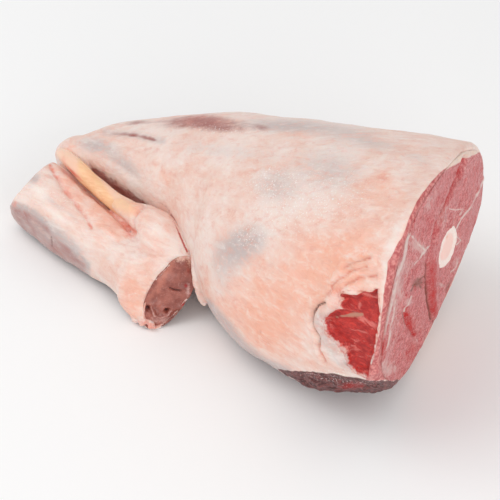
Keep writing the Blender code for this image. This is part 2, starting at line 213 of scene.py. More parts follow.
def squircle(angle, power):
    """Unit superellipse: |cos| and |sin| stretched so that c**power + s**power is 1."""
    c = np.abs(np.cos(angle))
    s = np.abs(np.sin(angle))
    size = (c**power + s**power) ** (-1.0 / power)
    return c * size, s * size


def unit(vectors):
    """Vectors of length one."""
    return vectors / np.linalg.norm(vectors, axis=-1, keepdims=True)


def grain(places, size, seed):
    """Smooth noise from -1 to 1: random values on a cubic lattice of the given size, eased between its corners."""
    side = 32
    offset = 500.0
    lattice = np.random.default_rng(seed).uniform(-1.0, 1.0, (side, side, side))
    scaled = places / size + offset
    cell = np.floor(scaled).astype(int)
    part = scaled - cell
    part = part * part * (3.0 - 2.0 * part)
    total = np.zeros(places.shape[:-1])
    for corner in np.ndindex(2, 2, 2):
        weight = np.prod(np.where(np.array(corner) == 1, part, 1.0 - part), axis=-1)
        i, j, k = np.moveaxis((cell + corner) % side, -1, 0)
        total += weight * lattice[i, j, k]
    return total


def warped(pixels, points, amount, size, seed):
    """Pixels moved about by noise, so that what is drawn along them wavers."""
    return pixels + amount * np.stack([grain(points, size, seed), grain(points, size, seed + 1)], axis=-1)


def path_distance(pixels, path):
    """Distance in pixels to a path: the least distance to any of its straight stretches."""
    best = np.full(len(pixels), 1e9)
    path = np.array(path, float)
    for start, end in zip(path[:-1], path[1:]):
        run = end - start
        along = np.clip((pixels - start) @ run / (run @ run), 0.0, 1.0)
        best = np.minimum(best, np.linalg.norm(pixels - start - along[:, None] * run, axis=1))
    return best


def nearest(pixels, paths):
    """Distance in pixels to the nearest of several paths."""
    return np.minimum.reduce([path_distance(pixels, path) for path in paths])


def inside_distance(pixels, outline):
    """Distance in pixels to a closed outline, positive inside it, by counting crossings to the right."""
    closed = np.array(list(outline) + [outline[0]], float)
    inside = np.zeros(len(pixels), bool)
    for start, end in zip(closed[:-1], closed[1:]):
        spans = (start[1] > pixels[:, 1]) != (end[1] > pixels[:, 1])
        rise = end[1] - start[1] if end[1] != start[1] else 1.0
        crossing = start[0] + (pixels[:, 1] - start[1]) * (end[0] - start[0]) / rise
        inside ^= spans & (pixels[:, 0] < crossing)
    return path_distance(pixels, closed) * np.where(inside, 1.0, -1.0)


def tinted(pixels, spots):
    """Strength of a tint: overlapping ovals x, y, long, short, turn and strength, each a bell curve."""
    left = np.ones(len(pixels))
    for x, y, long, short, turn, strength in spots:
        c, s = np.cos(np.radians(turn)), np.sin(np.radians(turn))
        dx, dy = pixels[:, 0] - x, pixels[:, 1] - y
        away = ((dx * c + dy * s) / long) ** 2 + ((dy * c - dx * s) / short) ** 2
        left *= 1.0 - strength * np.exp(-away)
    return 1.0 - left


def eased(value, low, high):
    """Smooth step from 0 at low to 1 at high."""
    t = np.clip((value - low) / (high - low), 0.0, 1.0)
    return t * t * (3.0 - 2.0 * t)


def bell(distance, width):
    """Bell curve: 1 at no distance, and about 0.37 at the width."""
    return np.exp(-((distance / width) ** 2))


def placed(points):
    """Points in drawing units, clipped at the table, as places in metres."""
    points = np.array(points, float)
    points[..., 2] = np.maximum(points[..., 2], 0.0)
    return (points - ORIGIN) * UNIT


def mesh_arrays(mesh):
    """A mesh's vertex places in metres and its unit normals."""
    places = np.empty(len(mesh.vertices) * 3)
    mesh.vertices.foreach_get("co", places)
    normals = np.empty(len(mesh.vertices) * 3)
    mesh.vertex_normals.foreach_get("vector", normals)
    return places.reshape(-1, 3), normals.reshape(-1, 3)


def surface(piece):
    """A piece's vertices: places in metres, normals, places in drawing units, and pixels where they show."""
    places, normals = mesh_arrays(piece.data)
    return places, normals, places / UNIT, seen_at(places)


def in_view(normals):
    """1 on the side that the camera sees, eased to 0 where it turns away, because the pixels hold only there."""
    return eased(normals @ camera_back, 0.0, 0.12)


def underneath(normals):
    """1 where a surface looks down, eased to 0 on the sides: there the leg lies on the table."""
    return eased(-normals[:, 2], 0.35, 0.8)


def ring_piece(name, rings):
    """Closed piece from rings of points: a face in each cell, a fan over each end, faces turned outwards."""
    rows, columns = rings.shape[:2]
    ends = [rings[0].mean(axis=0), rings[-1].mean(axis=0)]
    places = placed(np.vstack([rings.reshape(-1, 3), ends]))
    here = np.arange(columns)
    there = (here + 1) % columns
    row = (np.arange(rows - 1) * columns)[:, None]
    quads = np.stack([row + here, row + there, row + columns + there, row + columns + here], axis=-1).reshape(-1, 4)
    first = np.full(columns, rows * columns)
    base = (rows - 1) * columns
    first_fan = np.stack([first, there, here], axis=-1)
    last_fan = np.stack([first + 1, base + here, base + there], axis=-1)
    fans = np.vstack([first_fan, last_fan])
    a, b, c, d = (places[quads[:, i]] for i in range(4))
    volume = np.sum(a * np.cross(b, c)) + np.sum(a * np.cross(c, d))
    if volume < 0.0:
        quads = quads[:, ::-1]
        fans = fans[:, ::-1]
    mesh = bpy.data.meshes.new(name)
    mesh.vertices.add(len(places))
    mesh.vertices.foreach_set("co", places.ravel())
    mesh.loops.add(quads.size + fans.size)
    mesh.loops.foreach_set("vertex_index", np.concatenate([quads.ravel(), fans.ravel()]).astype(np.int32))
    starts = np.concatenate([np.arange(len(quads)) * 4, quads.size + np.arange(len(fans)) * 3])
    mesh.polygons.add(len(starts))
    mesh.polygons.foreach_set("loop_start", starts.astype(np.int32))
    mesh.update(calc_edges=True)
    mesh.polygons.foreach_set("use_smooth", np.ones(len(starts), bool))
    piece = bpy.data.objects.new(name, mesh)
    bpy.context.scene.collection.objects.link(piece)
    return piece


def raised(piece, height):
    """Moves each vertex along its normal by a height in drawing units, and keeps it above the table."""
    places, normals = mesh_arrays(piece.data)
    places += normals * (height * UNIT)[:, None]
    places[:, 2] = np.maximum(places[:, 2], 0.0)
    piece.data.vertices.foreach_set("co", places.ravel())
    piece.data.update()


def painted(piece, name, values):
    """Stores one number for each vertex under a name that the material reads."""
    layer = piece.data.attributes.new(name, "FLOAT", "POINT")
    layer.data.foreach_set("value", np.asarray(values, np.float32))


def tint_sides(piece, points, pixels, facing, spots, near, far=(), whole=()):
    """Paints each tint: spots and further fields on the near side, patches of noise on the far side, and
    fields that go all round."""
    for tint, ovals in spots.items():
        strength = facing * np.maximum.reduce([tinted(pixels, ovals), *near.get(tint, [])])
        if tint in far:
            most, size, seed, low, high = far[tint]
            strength = np.maximum(strength, (1.0 - facing) * most * eased(grain(points, size, seed), low, high))
        painted(piece, tint, np.maximum(strength, dict(whole).get(tint, 0.0)))


def thigh_section(x, angle):
    """Point of the thigh's section: four superellipse quarters that meet at its extreme points."""
    quarter = np.floor(angle / (np.pi / 2)).astype(int) % 4
    top_power = np.full_like(x, TOP_POWER)
    powers = [top_power, top_power, curve(STATION_X, FAR_BASE_POWER, x), curve(STATION_X, NEAR_BASE_POWER, x)]
    c, s = squircle(angle, np.choose(quarter, powers))
    near = (quarter == 0) | (quarter == 3)
    side_y = np.where(near, curve(STATION_X, NEAR_Y, x), curve(STATION_X, FAR_Y, x))
    side_z = np.where(near, curve(STATION_X, NEAR_Z, x), curve(STATION_X, FAR_Z, x))
    end_y = np.where(quarter <= 1, curve(STATION_X, TOP_Y, x), curve(STATION_X, BASE_Y, x))
    end_z = np.where(quarter <= 1, curve(STATION_X, TOP_Z, x), curve(STATION_X, BASE_Z, x))
    return end_y + (side_y - end_y) * c, side_z + (end_z - side_z) * s


def thigh_rings(rows, columns):
    """Rings from the rounded knee tip to the rim of the cut and back inside it, closest on the near side."""
    t = np.linspace(0.002, 1.0, rows)
    x = TIP_X + (FACE_X - TIP_X) * (0.35 * t + 0.65 * t * t * (3.0 - 2.0 * t))
    turn = np.linspace(0.0, 2.0 * np.pi, columns, endpoint=False)
    x, angle = np.meshgrid(x, turn - 0.4 * np.sin(turn), indexing="ij")
    y, z = thigh_section(x, angle)
    middle_y = (curve(STATION_X, NEAR_Y, x) + curve(STATION_X, FAR_Y, x)) / 2.0
    middle_z = (curve(STATION_X, TOP_Z, x) + curve(STATION_X, BASE_Z, x)) / 2.0
    tip = np.sqrt(1.0 - np.clip((TIP_CAP_X - x) / (TIP_CAP_X - TIP_X), 0.0, 1.0) ** 2)
    rim = np.clip((x - FACE_X + RIM_RADIUS) / RIM_RADIUS, 0.0, 1.0)
    size = tip * (1.0 - RIM_RADIUS / FACE_RADIUS * (1.0 - np.sqrt(1.0 - rim**2)))
    y = middle_y + (y - middle_y) * size
    z = middle_z + (z - middle_z) * size
    rings = np.stack([x, y, z], axis=-1)
    middle = np.stack([x[-1], middle_y[-1], middle_z[-1]], axis=-1)
    inward = [(0.985, 0.8), (0.96, 8.0), (0.6, 8.0)]
    inner = [middle + (rings[-1] - middle) * shrink - [depth, 0.0, 0.0] for shrink, depth in inward]
    return np.concatenate([rings, inner])


def node(tree, kind, inputs=(), **settings):
    """Adds a shader node, sets its properties, and joins or sets each input given by name or number."""
    made = tree.nodes.new(kind)
    for name, value in settings.items():
        setattr(made, name, value)
    for key, source in dict(inputs).items():
        if isinstance(source, bpy.types.NodeSocket):
            tree.links.new(source, made.inputs[key])
        else:
            made.inputs[key].default_value = source
    return made


def new_finish(name):
    """Empty material: its node tree, its Principled shader and the piece's own coordinates."""
    finish = bpy.data.materials.new(name)
    finish.use_nodes = True
    tree = finish.node_tree
    shader = tree.nodes["Principled BSDF"]
    place = node(tree, "ShaderNodeTexCoord").outputs["Object"]
    return finish, tree, shader, place


def noise(tree, place, scale, detail=3.0, rough=0.55, stretch=(1.0, 1.0, 1.0), turn=(0.0, 0.0, 0.0), warp=0.0):
    """Noise from 0 to 1 with scale cells to the metre, stretched along turned axes."""
    mapped = node(tree, "ShaderNodeMapping", {"Vector": place, "Scale": stretch, "Rotation": turn}).outputs[0]
    made = node(tree, "ShaderNodeTexNoise", {"Vector": mapped, "Scale": scale, "Detail": detail,
                                             "Roughness": rough, "Distortion": warp})
    return made.outputs[0]


def stored(tree, name):
    """A number that painted() stored on the piece."""
    return node(tree, "ShaderNodeAttribute", attribute_name=name).outputs["Fac"]


def sums(tree, kind, first, second=0.0):
    """One arithmetic step between two numbers."""
    return node(tree, "ShaderNodeMath", {0: first, 1: second}, operation=kind).outputs[0]


def step(tree, value, low, high):
    """Smooth step of a number from 0 at low to 1 at high."""
    return node(tree, "ShaderNodeMapRange", {"Value": value, "From Min": low, "From Max": high},
                interpolation_type="SMOOTHSTEP").outputs[0]


def fall(tree, value, low, high):
    """Smooth step of a number from 1 at low to 0 at high."""
    return sums(tree, "SUBTRACT", 1.0, step(tree, value, low, high))


def mottled(tree, field, speckle, spread, low, high):
    """A stored field roughened by noise and sharpened to a ragged edge."""
    shifted = sums(tree, "MULTIPLY", sums(tree, "SUBTRACT", speckle, 0.5), spread)
    return step(tree, sums(tree, "ADD", field, shifted), low, high)


def over(tree, factor, under, top):
    """One colour laid over another by a factor."""
    return node(tree, "ShaderNodeMix", {0: factor, 6: under, 7: top}, data_type="RGBA").outputs[2]


def stained(tree, under, name, speckle, spread, low, high, top):
    """A colour laid where a stored field is strong, with the ragged edge of mottled()."""
    return over(tree, mottled(tree, stored(tree, name), speckle, spread, low, high), under, top)


def flecked(tree, under, pattern, low, high, most, top):
    """A colour laid where a pattern of noise is high."""
    return over(tree, sums(tree, "MULTIPLY", step(tree, pattern, low, high), most), under, top)


def wet(tree, shader, colour, heights, uneven, coat, depth, soak):
    """Sets a moist surface: its colour, bump from the heights, a roughness that a pattern moves between two
    ends, a thin glossy coat (weight, roughness), and light that soaks in (weight, metres), red furthest."""
    total = 0.0
    for height, amount in heights:
        total = sums(tree, "ADD", sums(tree, "MULTIPLY", height, amount), total)
    bump = node(tree, "ShaderNodeBump", {"Height": total, "Distance": depth, "Strength": 1.0}).outputs[0]
    pattern, smooth, rough = uneven
    coat_weight, coat_roughness = coat
    soak_weight, soak_depth = soak
    roughness = node(tree, "ShaderNodeMapRange", {"Value": pattern, "To Min": smooth, "To Max": rough}).outputs[0]
    tree.links.new(colour, shader.inputs["Base Color"])
    tree.links.new(bump, shader.inputs["Normal"])
    tree.links.new(roughness, shader.inputs["Roughness"])
    shader.inputs["Coat Weight"].default_value = coat_weight
    shader.inputs["Coat Roughness"].default_value = coat_roughness
    shader.inputs["Specular IOR Level"].default_value = MOIST_SPECULAR
    shader.inputs["Subsurface Weight"].default_value = soak_weight
    shader.inputs["Subsurface Radius"].default_value = SOAK_BY_COLOUR
    shader.inputs["Subsurface Scale"].default_value = soak_depth


def skin_finish(name):
    """Pale fat under thin skin: stored tints broken up by noise, with fibres, glints, fine veins and bare meat, and
    painted shade in hollows, creases and underneath.
    """
    finish, tree, shader, place = new_finish(name)
    broad = noise(tree, place, 24.0, 5.0, 0.6)
    middling = noise(tree, place, 95.0, 6.0, 0.65)
    small = noise(tree, place, 420.0, 5.0, 0.6)
    streak = noise(tree, place, 135.0, 8.0, 0.72, (0.5, 1.0, 1.0), (0.0, 0.35, 0.35), 0.6)
    fibre = noise(tree, place, 260.0, 4.0, 0.6, (0.22, 1.0, 1.0), (0.0, 0.35, 0.35), 0.6)
    fleck = noise(tree, place, 900.0, 3.0, 0.6)
    vein = noise(tree, place, 70.0, 3.0, 0.6, (0.5, 1.0, 1.0), (0.0, 0.3, 0.5), 1.2)

    colour = over(tree, step(tree, broad, 0.36, 0.66), tone(244, 223, 214), tone(240, 201, 186))
    colour = stained(tree, colour, "peach", middling, 0.9, 0.1, 1.1, tone(248, 182, 156))
    # Blue-grey: the skin's own tint, and painted shade in a hollow and along the lower edge
    colour = stained(tree, colour, "blue", streak, 1.2, 0.15, 1.05, tone(199, 184, 181))
    # Pink: the skin's own blush, and painted shade along folds and the heel's crease
    colour = stained(tree, colour, "pink", small, 1.1, 0.25, 1.3, tone(232, 138, 118))
    colour = flecked(tree, colour, streak, 0.48, 0.66, 0.42, tone(252, 237, 229))
    blushes = sums(tree, "MULTIPLY", fall(tree, streak, 0.34, 0.48), 0.34)
    colour = over(tree, blushes, colour, tone(232, 168, 150))
    colour = flecked(tree, colour, fibre, 0.52, 0.72, 0.35, tone(250, 234, 226))
    blush = sums(tree, "MULTIPLY", fall(tree, fibre, 0.3, 0.46), 0.3)
    colour = over(tree, blush, colour, tone(226, 160, 142))
    # Brown: muscle under the skin, and painted shade along the lower edge, in the recess behind the tendon and along
    # the heel's contact
    colour = stained(tree, colour, "brown", streak, 1.1, 0.2, 1.0, tone(166, 100, 93))
    thin = sums(tree, "ABSOLUTE", sums(tree, "SUBTRACT", vein, 0.5))
    veins = sums(tree, "MULTIPLY", fall(tree, thin, 0.0, 0.012), 0.3)
    veins = sums(tree, "MULTIPLY", veins, step(tree, middling, 0.48, 0.62))
    colour = over(tree, veins, colour, tone(216, 136, 120))
    colour = stained(tree, colour, "white", streak, 1.2, 0.2, 1.2, tone(248, 232, 224))
    ragged = sums(tree, "ADD", stored(tree, "glint"), sums(tree, "MULTIPLY", middling, 0.6))
    glints = sums(tree, "MULTIPLY", step(tree, fleck, 0.58, 0.68), step(tree, ragged, 0.35, 1.2))
    colour = over(tree, glints, colour, tone(255, 250, 247))
    # Red: the meat's own red, and along the heel's contact a thin dark-red line of painted shade
    colour = stained(tree, colour, "red", small, 0.8, 0.3, 1.0, tone(186, 60, 52))

    colour = stained(tree, colour, "sinew", streak, 0.8, 0.1, 0.9, tone(252, 203, 166))
    cut_grain = over(tree, step(tree, small, 0.38, 0.64), tone(186, 88, 88), tone(226, 148, 142))
    colour = stained(tree, colour, "cut", small, 1.2, INSIDE - 0.3, INSIDE + 0.5, cut_grain)
    meat_grain = noise(tree, place, 380.0, 6.0, 0.7, (0.5, 1.0, 1.0), (0.2, 0.3, 1.1), 0.8)
    meat = over(tree, step(tree, meat_grain, 0.35, 0.68), tone(164, 26, 26), tone(214, 58, 48))
    meat = flecked(tree, meat, middling, 0.5, 0.68, 0.5, tone(150, 18, 20))
    sheen = noise(tree, place, 160.0, 5.0, 0.7, (0.3, 1.0, 1.0), (0.2, 0.5, 1.2), 0.8)
    meat = flecked(tree, meat, sheen, 0.51, 0.66, 0.7, tone(234, 136, 126))
    colour = stained(tree, colour, "bare", small, 2.4, INSIDE - 0.4, INSIDE + 0.5, meat)
    colour = stained(tree, colour, "slit", small, 0.8, 0.35, 1.0, tone(196, 138, 116))
    # Meat underneath: the meat's own red, painted much darker as shade where the leg curves under and lies on the
    # table
    raw_in_shade = over(tree, step(tree, small, 0.4, 0.62), tone(72, 24, 25), tone(128, 67, 64))
    raw_in_shade = stained(tree, raw_in_shade, "red", small, 0.9, 0.4, 0.9, tone(150, 36, 34))
    raw_in_shade = over(tree, glints, raw_in_shade, tone(226, 204, 200))
    colour = stained(tree, colour, "raw_in_shade", small, 1.2, INSIDE - 0.3, INSIDE + 0.5, raw_in_shade)
    # Dark: painted shade in crevices, folds and recesses, and the dark of a small nick
    colour = stained(tree, colour, "dark", small, 0.6, 0.25, 1.1, tone(104, 60, 54))
    heights = [(small, 0.9), (fibre, 0.8), (fleck, 0.4), (streak, 1.2)]
    wet(tree, shader, colour, heights, (middling, 0.42, 0.66), (0.15, 0.25), 0.0006, (0.2, 0.004))
    return finish


thigh = ring_piece("thigh_cover", thigh_rings(rows=300, columns=326))
places, normals, points, pixels = surface(thigh)
facing = in_view(normals)
rag = 1.6 * grain(points, 7.0, 11) + 0.8 * grain(points, 2.6, 12)
lumps = grain(points, 6.5, 13) + 0.6 * grain(points, 3.2, 14)
patch = inside_distance(pixels, MEAT_PATCH) + 0.6 * rag - 9.0 * tinted(pixels, PATCH_FAT) * (1.0 + 0.6 * lumps)
flap = inside_distance(pixels, FAT_FLAP) + 1.0 * rag
shifted = warped(pixels, points, 1.6, 8.0, 15)
crevice = path_distance(shifted, FLAP_CREVICE)
slit = path_distance(pixels, KNIFE_SLIT) / (0.7 + 1.5 * bell(pixels[:, 0] - 353.0, 8.0))
seam = path_distance(pixels, SEAM_GROOVE)
fold = nearest(shifted, FOLDS)
contact = path_distance(pixels, HEEL_CONTACT)
recess = inside_distance(pixels, RECESS) + 1.5 * rag
raw_shaded_side = inside_distance(pixels, UNDERSIDE) + 0.8 * rag
height = 1.1 * grain(points, 42.0, 1) + 0.7 * grain(points, 19.0, 2) + 0.28 * grain(points, 8.0, 3)
height += 0.12 * grain(points, 3.2, 4)
loose = (1.0 - eased(patch, -0.8, 2.4)) * eased(crevice, 1.0, 6.5)
height += facing * (
    (1.8 + 1.1 * lumps) * eased(flap, -2.0, 5.0) * loose
    + 2.6 * tinted(pixels, FLAP_LOBES) * loose
    - 2.6 * eased(patch, -0.8, 2.0)
    + 0.7 * lumps * eased(patch, 1.0, 5.0)
    - 2.3 * bell(crevice, 1.7)
    + 0.8 * bell(crevice - 4.5, 2.6)
    - 1.2 * bell(slit, 1.6)
    - 1.0 * bell(seam, 2.6)
    - 1.8 * bell(fold, 1.7) * (0.8 + 0.4 * lumps)
    + 1.0 * bell(fold - 4.0, 2.0)
    - 1.0 * eased(recess, -3.0, 4.0)
    + 1.6 * lumps * eased(raw_shaded_side, 1.0, 6.0)
)
on_cut = eased(points[:, 0] + ORIGIN[0], FACE_X - 1.5, FACE_X - 0.2)
raised(thigh, height * (1.0 - on_cut))

past_rim = inside_distance(pixels, CUT_SIDE) + 0.5 * rag
past_rim = np.where(points[:, 0] + ORIGIN[0] > FACE_X - 24.0, past_rim, -INSIDE)
broken = 0.6 + 0.7 * grain(points, 7.0, 26)
mixed = 0.5 + 0.8 * grain(points, 9.0, 27)
lower_edge_shade = bell(path_distance(pixels, LOWER_EDGE_SHADE), 7.0)
fading = eased(pixels[:, 0], 100.0, 125.0) * (1.0 - eased(pixels[:, 0], 150.0, 168.0))
painted(thigh, "bare", facing * np.clip(INSIDE + patch, 0.0, 2 * INSIDE))
painted(thigh, "cut", facing * np.clip(INSIDE + past_rim, 0.0, 2 * INSIDE))
# The underside strip is bare meat painted darker as shade, and every surface that looks down gets the same painted
# shade, where the leg lies on the table
painted(thigh, "raw_in_shade", np.maximum(facing * np.clip(INSIDE + raw_shaded_side, 0.0, 2 * INSIDE), 8.0 * underneath(normals)))
painted(thigh, "slit", facing * 1.2 * bell(slit, 1.3))
# Painted shade among the tints: blue and brown along the lower edge, brown in the recess and along the heel's
# contact, and pink in the folds above the patch
tint_sides(thigh, points, pixels, facing, TINTS, {
    "blue": [0.6 * bell(seam, 6.0), 0.75 * eased(flap, 0.0, 6.0) * eased(pixels[:, 1], 296.0, 316.0), lower_edge_shade],
    "brown": [0.3 * lower_edge_shade, 0.85 * eased(recess, -2.0, 4.0), fading * (0.4 + 0.5 * broken) * bell(seam, 2.4),
              0.35 * bell(contact, 3.2)],
    "white": [eased(flap, -1.0, 6.0) * (0.3 + 0.5 * mixed)],
    "pink": [(0.5 + 0.7 * broken) * bell(fold, 1.7), 0.7 * eased(flap, 0.0, 5.0) * (1.0 - mixed)],
}, FAR_TINTS)
# Red: the meat's own red round the patch and at the bottom edge, and along the heel's contact a thin dark-red line of
# painted shade in the crease
red = 0.6 * bell(patch + 1.0, 1.2) + bell(contact, 1.7) * eased(pixels[:, 1], 195.0, 225.0)
red = np.maximum(red, eased(raw_shaded_side, 0.0, 4.0) * tinted(pixels, RED_EDGE))
painted(thigh, "red", facing * red)
# Painted shade: in the crevice by the flap, beside the lobes and the knife slit, in the folds, along the heel's
# contact and deep in the recess
painted(thigh, "dark", facing * np.maximum.reduce([
    (0.5 + 0.55 * broken) * bell(crevice, 1.5),
    0.8 * eased(tinted(pixels, PATCH_SHADE), 0.1, 1.0),
    0.2 * bell(fold, 1.2),
    0.4 * bell(contact, 1.5),
    0.2 * eased(recess, 3.5, 7.5),
]))
thigh.data.materials.append(skin_finish("fat_and_skin"))
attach(thigh, "root")
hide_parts("leg_flesh")


# Cut face
# The sawn and knifed end of the thigh: bare red muscles side by side, parted by seams of white fat,
# with a pale rim of fat round them. It is cut in one piece with the thigh.
THIGH_BONE_RADIUS = 14.2
THIGH_BONE_Y = -28.0
THIGH_BONE_Z = 93.5
BONE_POCKET = 4.0
FACE_MIDDLE = np.array([FACE_X, -48.0, 101.0])
FACE_BACK_DEPTH = 7.0
FACE_RIM_DEPTH = 0.6
FACE_BULGES = [(-104.0, 112.0, 30.0, 3.0), (8.0, 98.0, 26.0, 2.4), (-58.0, 150.0, 20.0, 2.0)]
FAT_LINES = [
    (1.0, [(484, 177), (477, 193), (470, 207), (462, 218), (456, 228)]),
    (0.9, [(450, 209), (456, 210), (463, 209), (460, 215)]),
    (2.4, [(408, 234), (404, 258), (397, 278), (392, 300), (387, 322), (380, 345), (375, 366)]),
    (0.8, [(457, 259), (456, 267), (450, 273)]),
    (0.7, [(457, 236), (460, 240), (456, 245)]),
    (1.3, [(426, 247), (431, 243), (420, 256), (414, 264)]),
    (1.3, [(412, 236), (418, 244), (424, 250)]),
    (1.1, [(396, 300), (392, 322), (386, 350)]),
    (1.0, [(411, 296), (408, 304), (405, 312)]),
]
RIM_LINE = [(476, 152), (458, 160), (438, 174), (427, 187), (417, 200), (408, 221), (393, 250), (385, 265),
            (382, 295), (380, 325), (374, 353), (369, 380)]
FAT_CORNER = [(490, 150), (476, 152), (458, 160), (438, 174), (427, 187), (417, 200), (400, 200), (400, 130),
              (490, 130)]
FACE_SEAM = [(464, 158), (457, 178), (451, 190), (445, 207), (437, 225), (432, 243)]
BONE_SEAM = [(450, 208), (441, 222), (435, 238)]
FACE_SLIT = [(432, 244), (428, 260), (427, 278), (428, 300), (432, 320)]
SLIT_FLANK = [(433, 250), (432, 275), (432, 300), (434, 318)]
FACE_CREVICE = [(406, 309), (408, 319), (411, 328), (415, 335)]
BROWN_CRACKS = [[(412, 291), (417, 284), (424, 277)], [(414, 286), (423, 283)], [(419, 279), (422, 288)]]
# The dark ovals are the brown of the cracks and painted shade in the crevice and beside the slit
FACE_TINTS = {
    "pale": [(430, 200, 26, 8, -58, 0.6), (399, 285, 8, 44, 12, 0.85), (419, 247, 12, 7, 40, 0.9),
             (390, 345, 6, 34, 12, 0.6), (386, 370, 14, 9, 0, 0.9), (409, 302, 4, 5, 0, 0.9),
             (444, 215, 5, 14, 20, 0.7), (458, 240, 5, 8, 0, 0.6), (441, 285, 4, 3, 30, 0.9),
             (415, 342, 4, 7, 0, 0.7), (455, 262, 4, 8, 20, 0.7), (412, 265, 5, 10, 30, 0.5)],
    "dark": [(418, 283, 8, 6, -40, 0.8), (420, 262, 4, 12, 20, 0.3), (423, 296, 3, 20, 0, 0.35),
             (405, 272, 4, 7, 0, 0.3), (404, 319, 1.3, 11, -12, 0.8), (411, 333, 1.2, 6, -25, 0.7),
             (451, 286, 4, 10, 30, 0.8), (410, 232, 5, 5, 0, 0.4)],
    "red": [(409, 320, 6, 15, -15, 1.0), (455, 262, 14, 16, 30, 0.5), (411, 352, 10, 22, 10, 0.7),
            (390, 310, 4, 30, 10, 0.6), (455, 225, 8, 20, 25, 0.4), (384, 350, 4, 16, 15, 0.7),
            (432, 178, 16, 5, -50, 0.5), (388, 375, 14, 5, 0, 0.5), (390, 262, 4, 16, 20, 0.4)],
}


def cut_rings(rows, columns):
    """Disc over the cut: a back ring, the rim, then rings that shrink to the middle, pushed out by bulges."""
    rows_to_rim = 40
    outline = thigh_rings(rows_to_rim, columns)[rows_to_rim - 1]
    shrink = np.concatenate([[0.5, 0.975, 0.99, 0.995], np.linspace(0.99, 0.004, rows)])
    rings = FACE_MIDDLE + (outline - FACE_MIDDLE) * shrink[:, None, None]
    rings[..., 0] = FACE_X
    y, z = rings[..., 1], rings[..., 2]
    for bulge_y, bulge_z, width, rise in FACE_BULGES:
        rings[..., 0] += rise * np.exp(-((y - bulge_y) ** 2 + (z - bulge_z) ** 2) / width**2)
    rings[:2, :, 0] = FACE_X - FACE_BACK_DEPTH
    rings[2, :, 0] = FACE_X - FACE_RIM_DEPTH
    return rings


def meat_finish(name):
    """Cut muscle: pink-red grain with pale flecks, seams of white fat, brown cracks, painted shade in slits and
    seams, and wet red crevices.
    """
    finish, tree, shader, place = new_finish(name)
    broad = noise(tree, place, 38.0, 4.0)
    middling = noise(tree, place, 170.0, 6.0, 0.65)
    small = noise(tree, place, 620.0, 6.0, 0.7)
    fine = noise(tree, place, 1500.0, 3.0, 0.6)
    streak = noise(tree, place, 330.0, 6.0, 0.75, (1.0, 0.6, 0.3), (0.5, 0.0, 0.0), 1.2)
    colour = over(tree, step(tree, small, 0.4, 0.62), tone(196, 70, 72), tone(241, 148, 146))
    colour = flecked(tree, colour, broad, 0.42, 0.62, 0.35, tone(216, 106, 108))
    colour = flecked(tree, colour, middling, 0.5, 0.66, 0.6, tone(188, 50, 52))
    colour = flecked(tree, colour, streak, 0.53, 0.68, 0.55, tone(247, 190, 184))
    pale = sums(tree, "MULTIPLY", mottled(tree, stored(tree, "pale"), streak, 2.0, 0.25, 1.1), 0.85)
    colour = over(tree, pale, colour, tone(234, 192, 186))
    colour = stained(tree, colour, "red", middling, 1.2, 0.25, 1.1, tone(206, 24, 22))
    colour = flecked(tree, colour, fine, 0.56, 0.68, 0.6, tone(232, 194, 190))
    # Dark: the brown of the cracks, and painted shade in the slits, seams and crevice
    colour = stained(tree, colour, "dark", small, 0.8, 0.25, 1.0, tone(142, 62, 40))
    wobble = sums(tree, "MULTIPLY", sums(tree, "SUBTRACT", small, 0.5), 1.2)
    line = fall(tree, sums(tree, "ADD", stored(tree, "line"), wobble), 0.2, 1.1)
    line = sums(tree, "MULTIPLY", line, step(tree, middling, 0.3, 0.55))
    colour = over(tree, sums(tree, "MULTIPLY", line, 0.9), colour, tone(244, 218, 210))
    rim = sums(tree, "ADD", stored(tree, "rim"), sums(tree, "MULTIPLY", wobble, 1.4))
    colour = over(tree, fall(tree, rim, 0.9, 2.2), colour, tone(255, 221, 204))
    heights = [(small, 1.2), (fine, 0.6), (middling, 1.6), (streak, 0.9)]
    wet(tree, shader, colour, heights, (middling, 0.36, 0.6), (0.25, 0.2), 0.001, (0.15, 0.003))
    return finish


cut = ring_piece("cut_face", cut_rings(rows=150, columns=620))
_, _, points, pixels = surface(cut)
seam = path_distance(pixels, FACE_SEAM)
slit = path_distance(pixels, FACE_SLIT)
flank = path_distance(pixels, SLIT_FLANK)
crevice = path_distance(pixels, FACE_CREVICE)
cracks = nearest(pixels, BROWN_CRACKS)
lines = np.minimum.reduce([path_distance(pixels, path) / width for width, path in FAT_LINES])
bone_seam = path_distance(pixels, BONE_SEAM)
rim = path_distance(pixels, RIM_LINE) * (1.0 - eased(inside_distance(pixels, FAT_CORNER), -0.5, 0.5))
front = eased(points[:, 0] + ORIGIN[0], FACE_X - 2.2, FACE_X - 0.4)
height = 0.8 * grain(points, 16.0, 31) + 0.6 * grain(points, 6.0, 32) + 0.35 * grain(points, 2.6, 33)
height -= 3.2 * bell(seam, 1.9) + 3.0 * bell(slit, 1.6)
swelling = eased(pixels[:, 1], 244.0, 272.0) * (1.0 - eased(pixels[:, 1], 306.0, 324.0))
height += 2.0 * swelling * bell(flank, 4.5) + 1.0 * bell(seam - 4.0, 2.5)
height -= 1.0 * bell(bone_seam, 1.4)
height -= 2.0 * bell(crevice, 2.8) * (1.0 + 0.8 * grain(points, 3.0, 34))
height -= 0.8 * bell(cracks, 1.6)
height += 0.4 * bell(lines, 1.2)
raised(cut, height * front)
places, _ = mesh_arrays(cut.data)
drawn = places / UNIT + ORIGIN
from_bone = np.hypot(drawn[:, 1] - THIGH_BONE_Y, drawn[:, 2] - THIGH_BONE_Z)
in_bone = (1.0 - eased(from_bone, THIGH_BONE_RADIUS - 1.6, THIGH_BONE_RADIUS - 0.6)) * front
places[:, 0] -= in_bone * BONE_POCKET * UNIT
cut.data.vertices.foreach_set("co", places.ravel())
painted(cut, "line", lines)
painted(cut, "rim", rim)
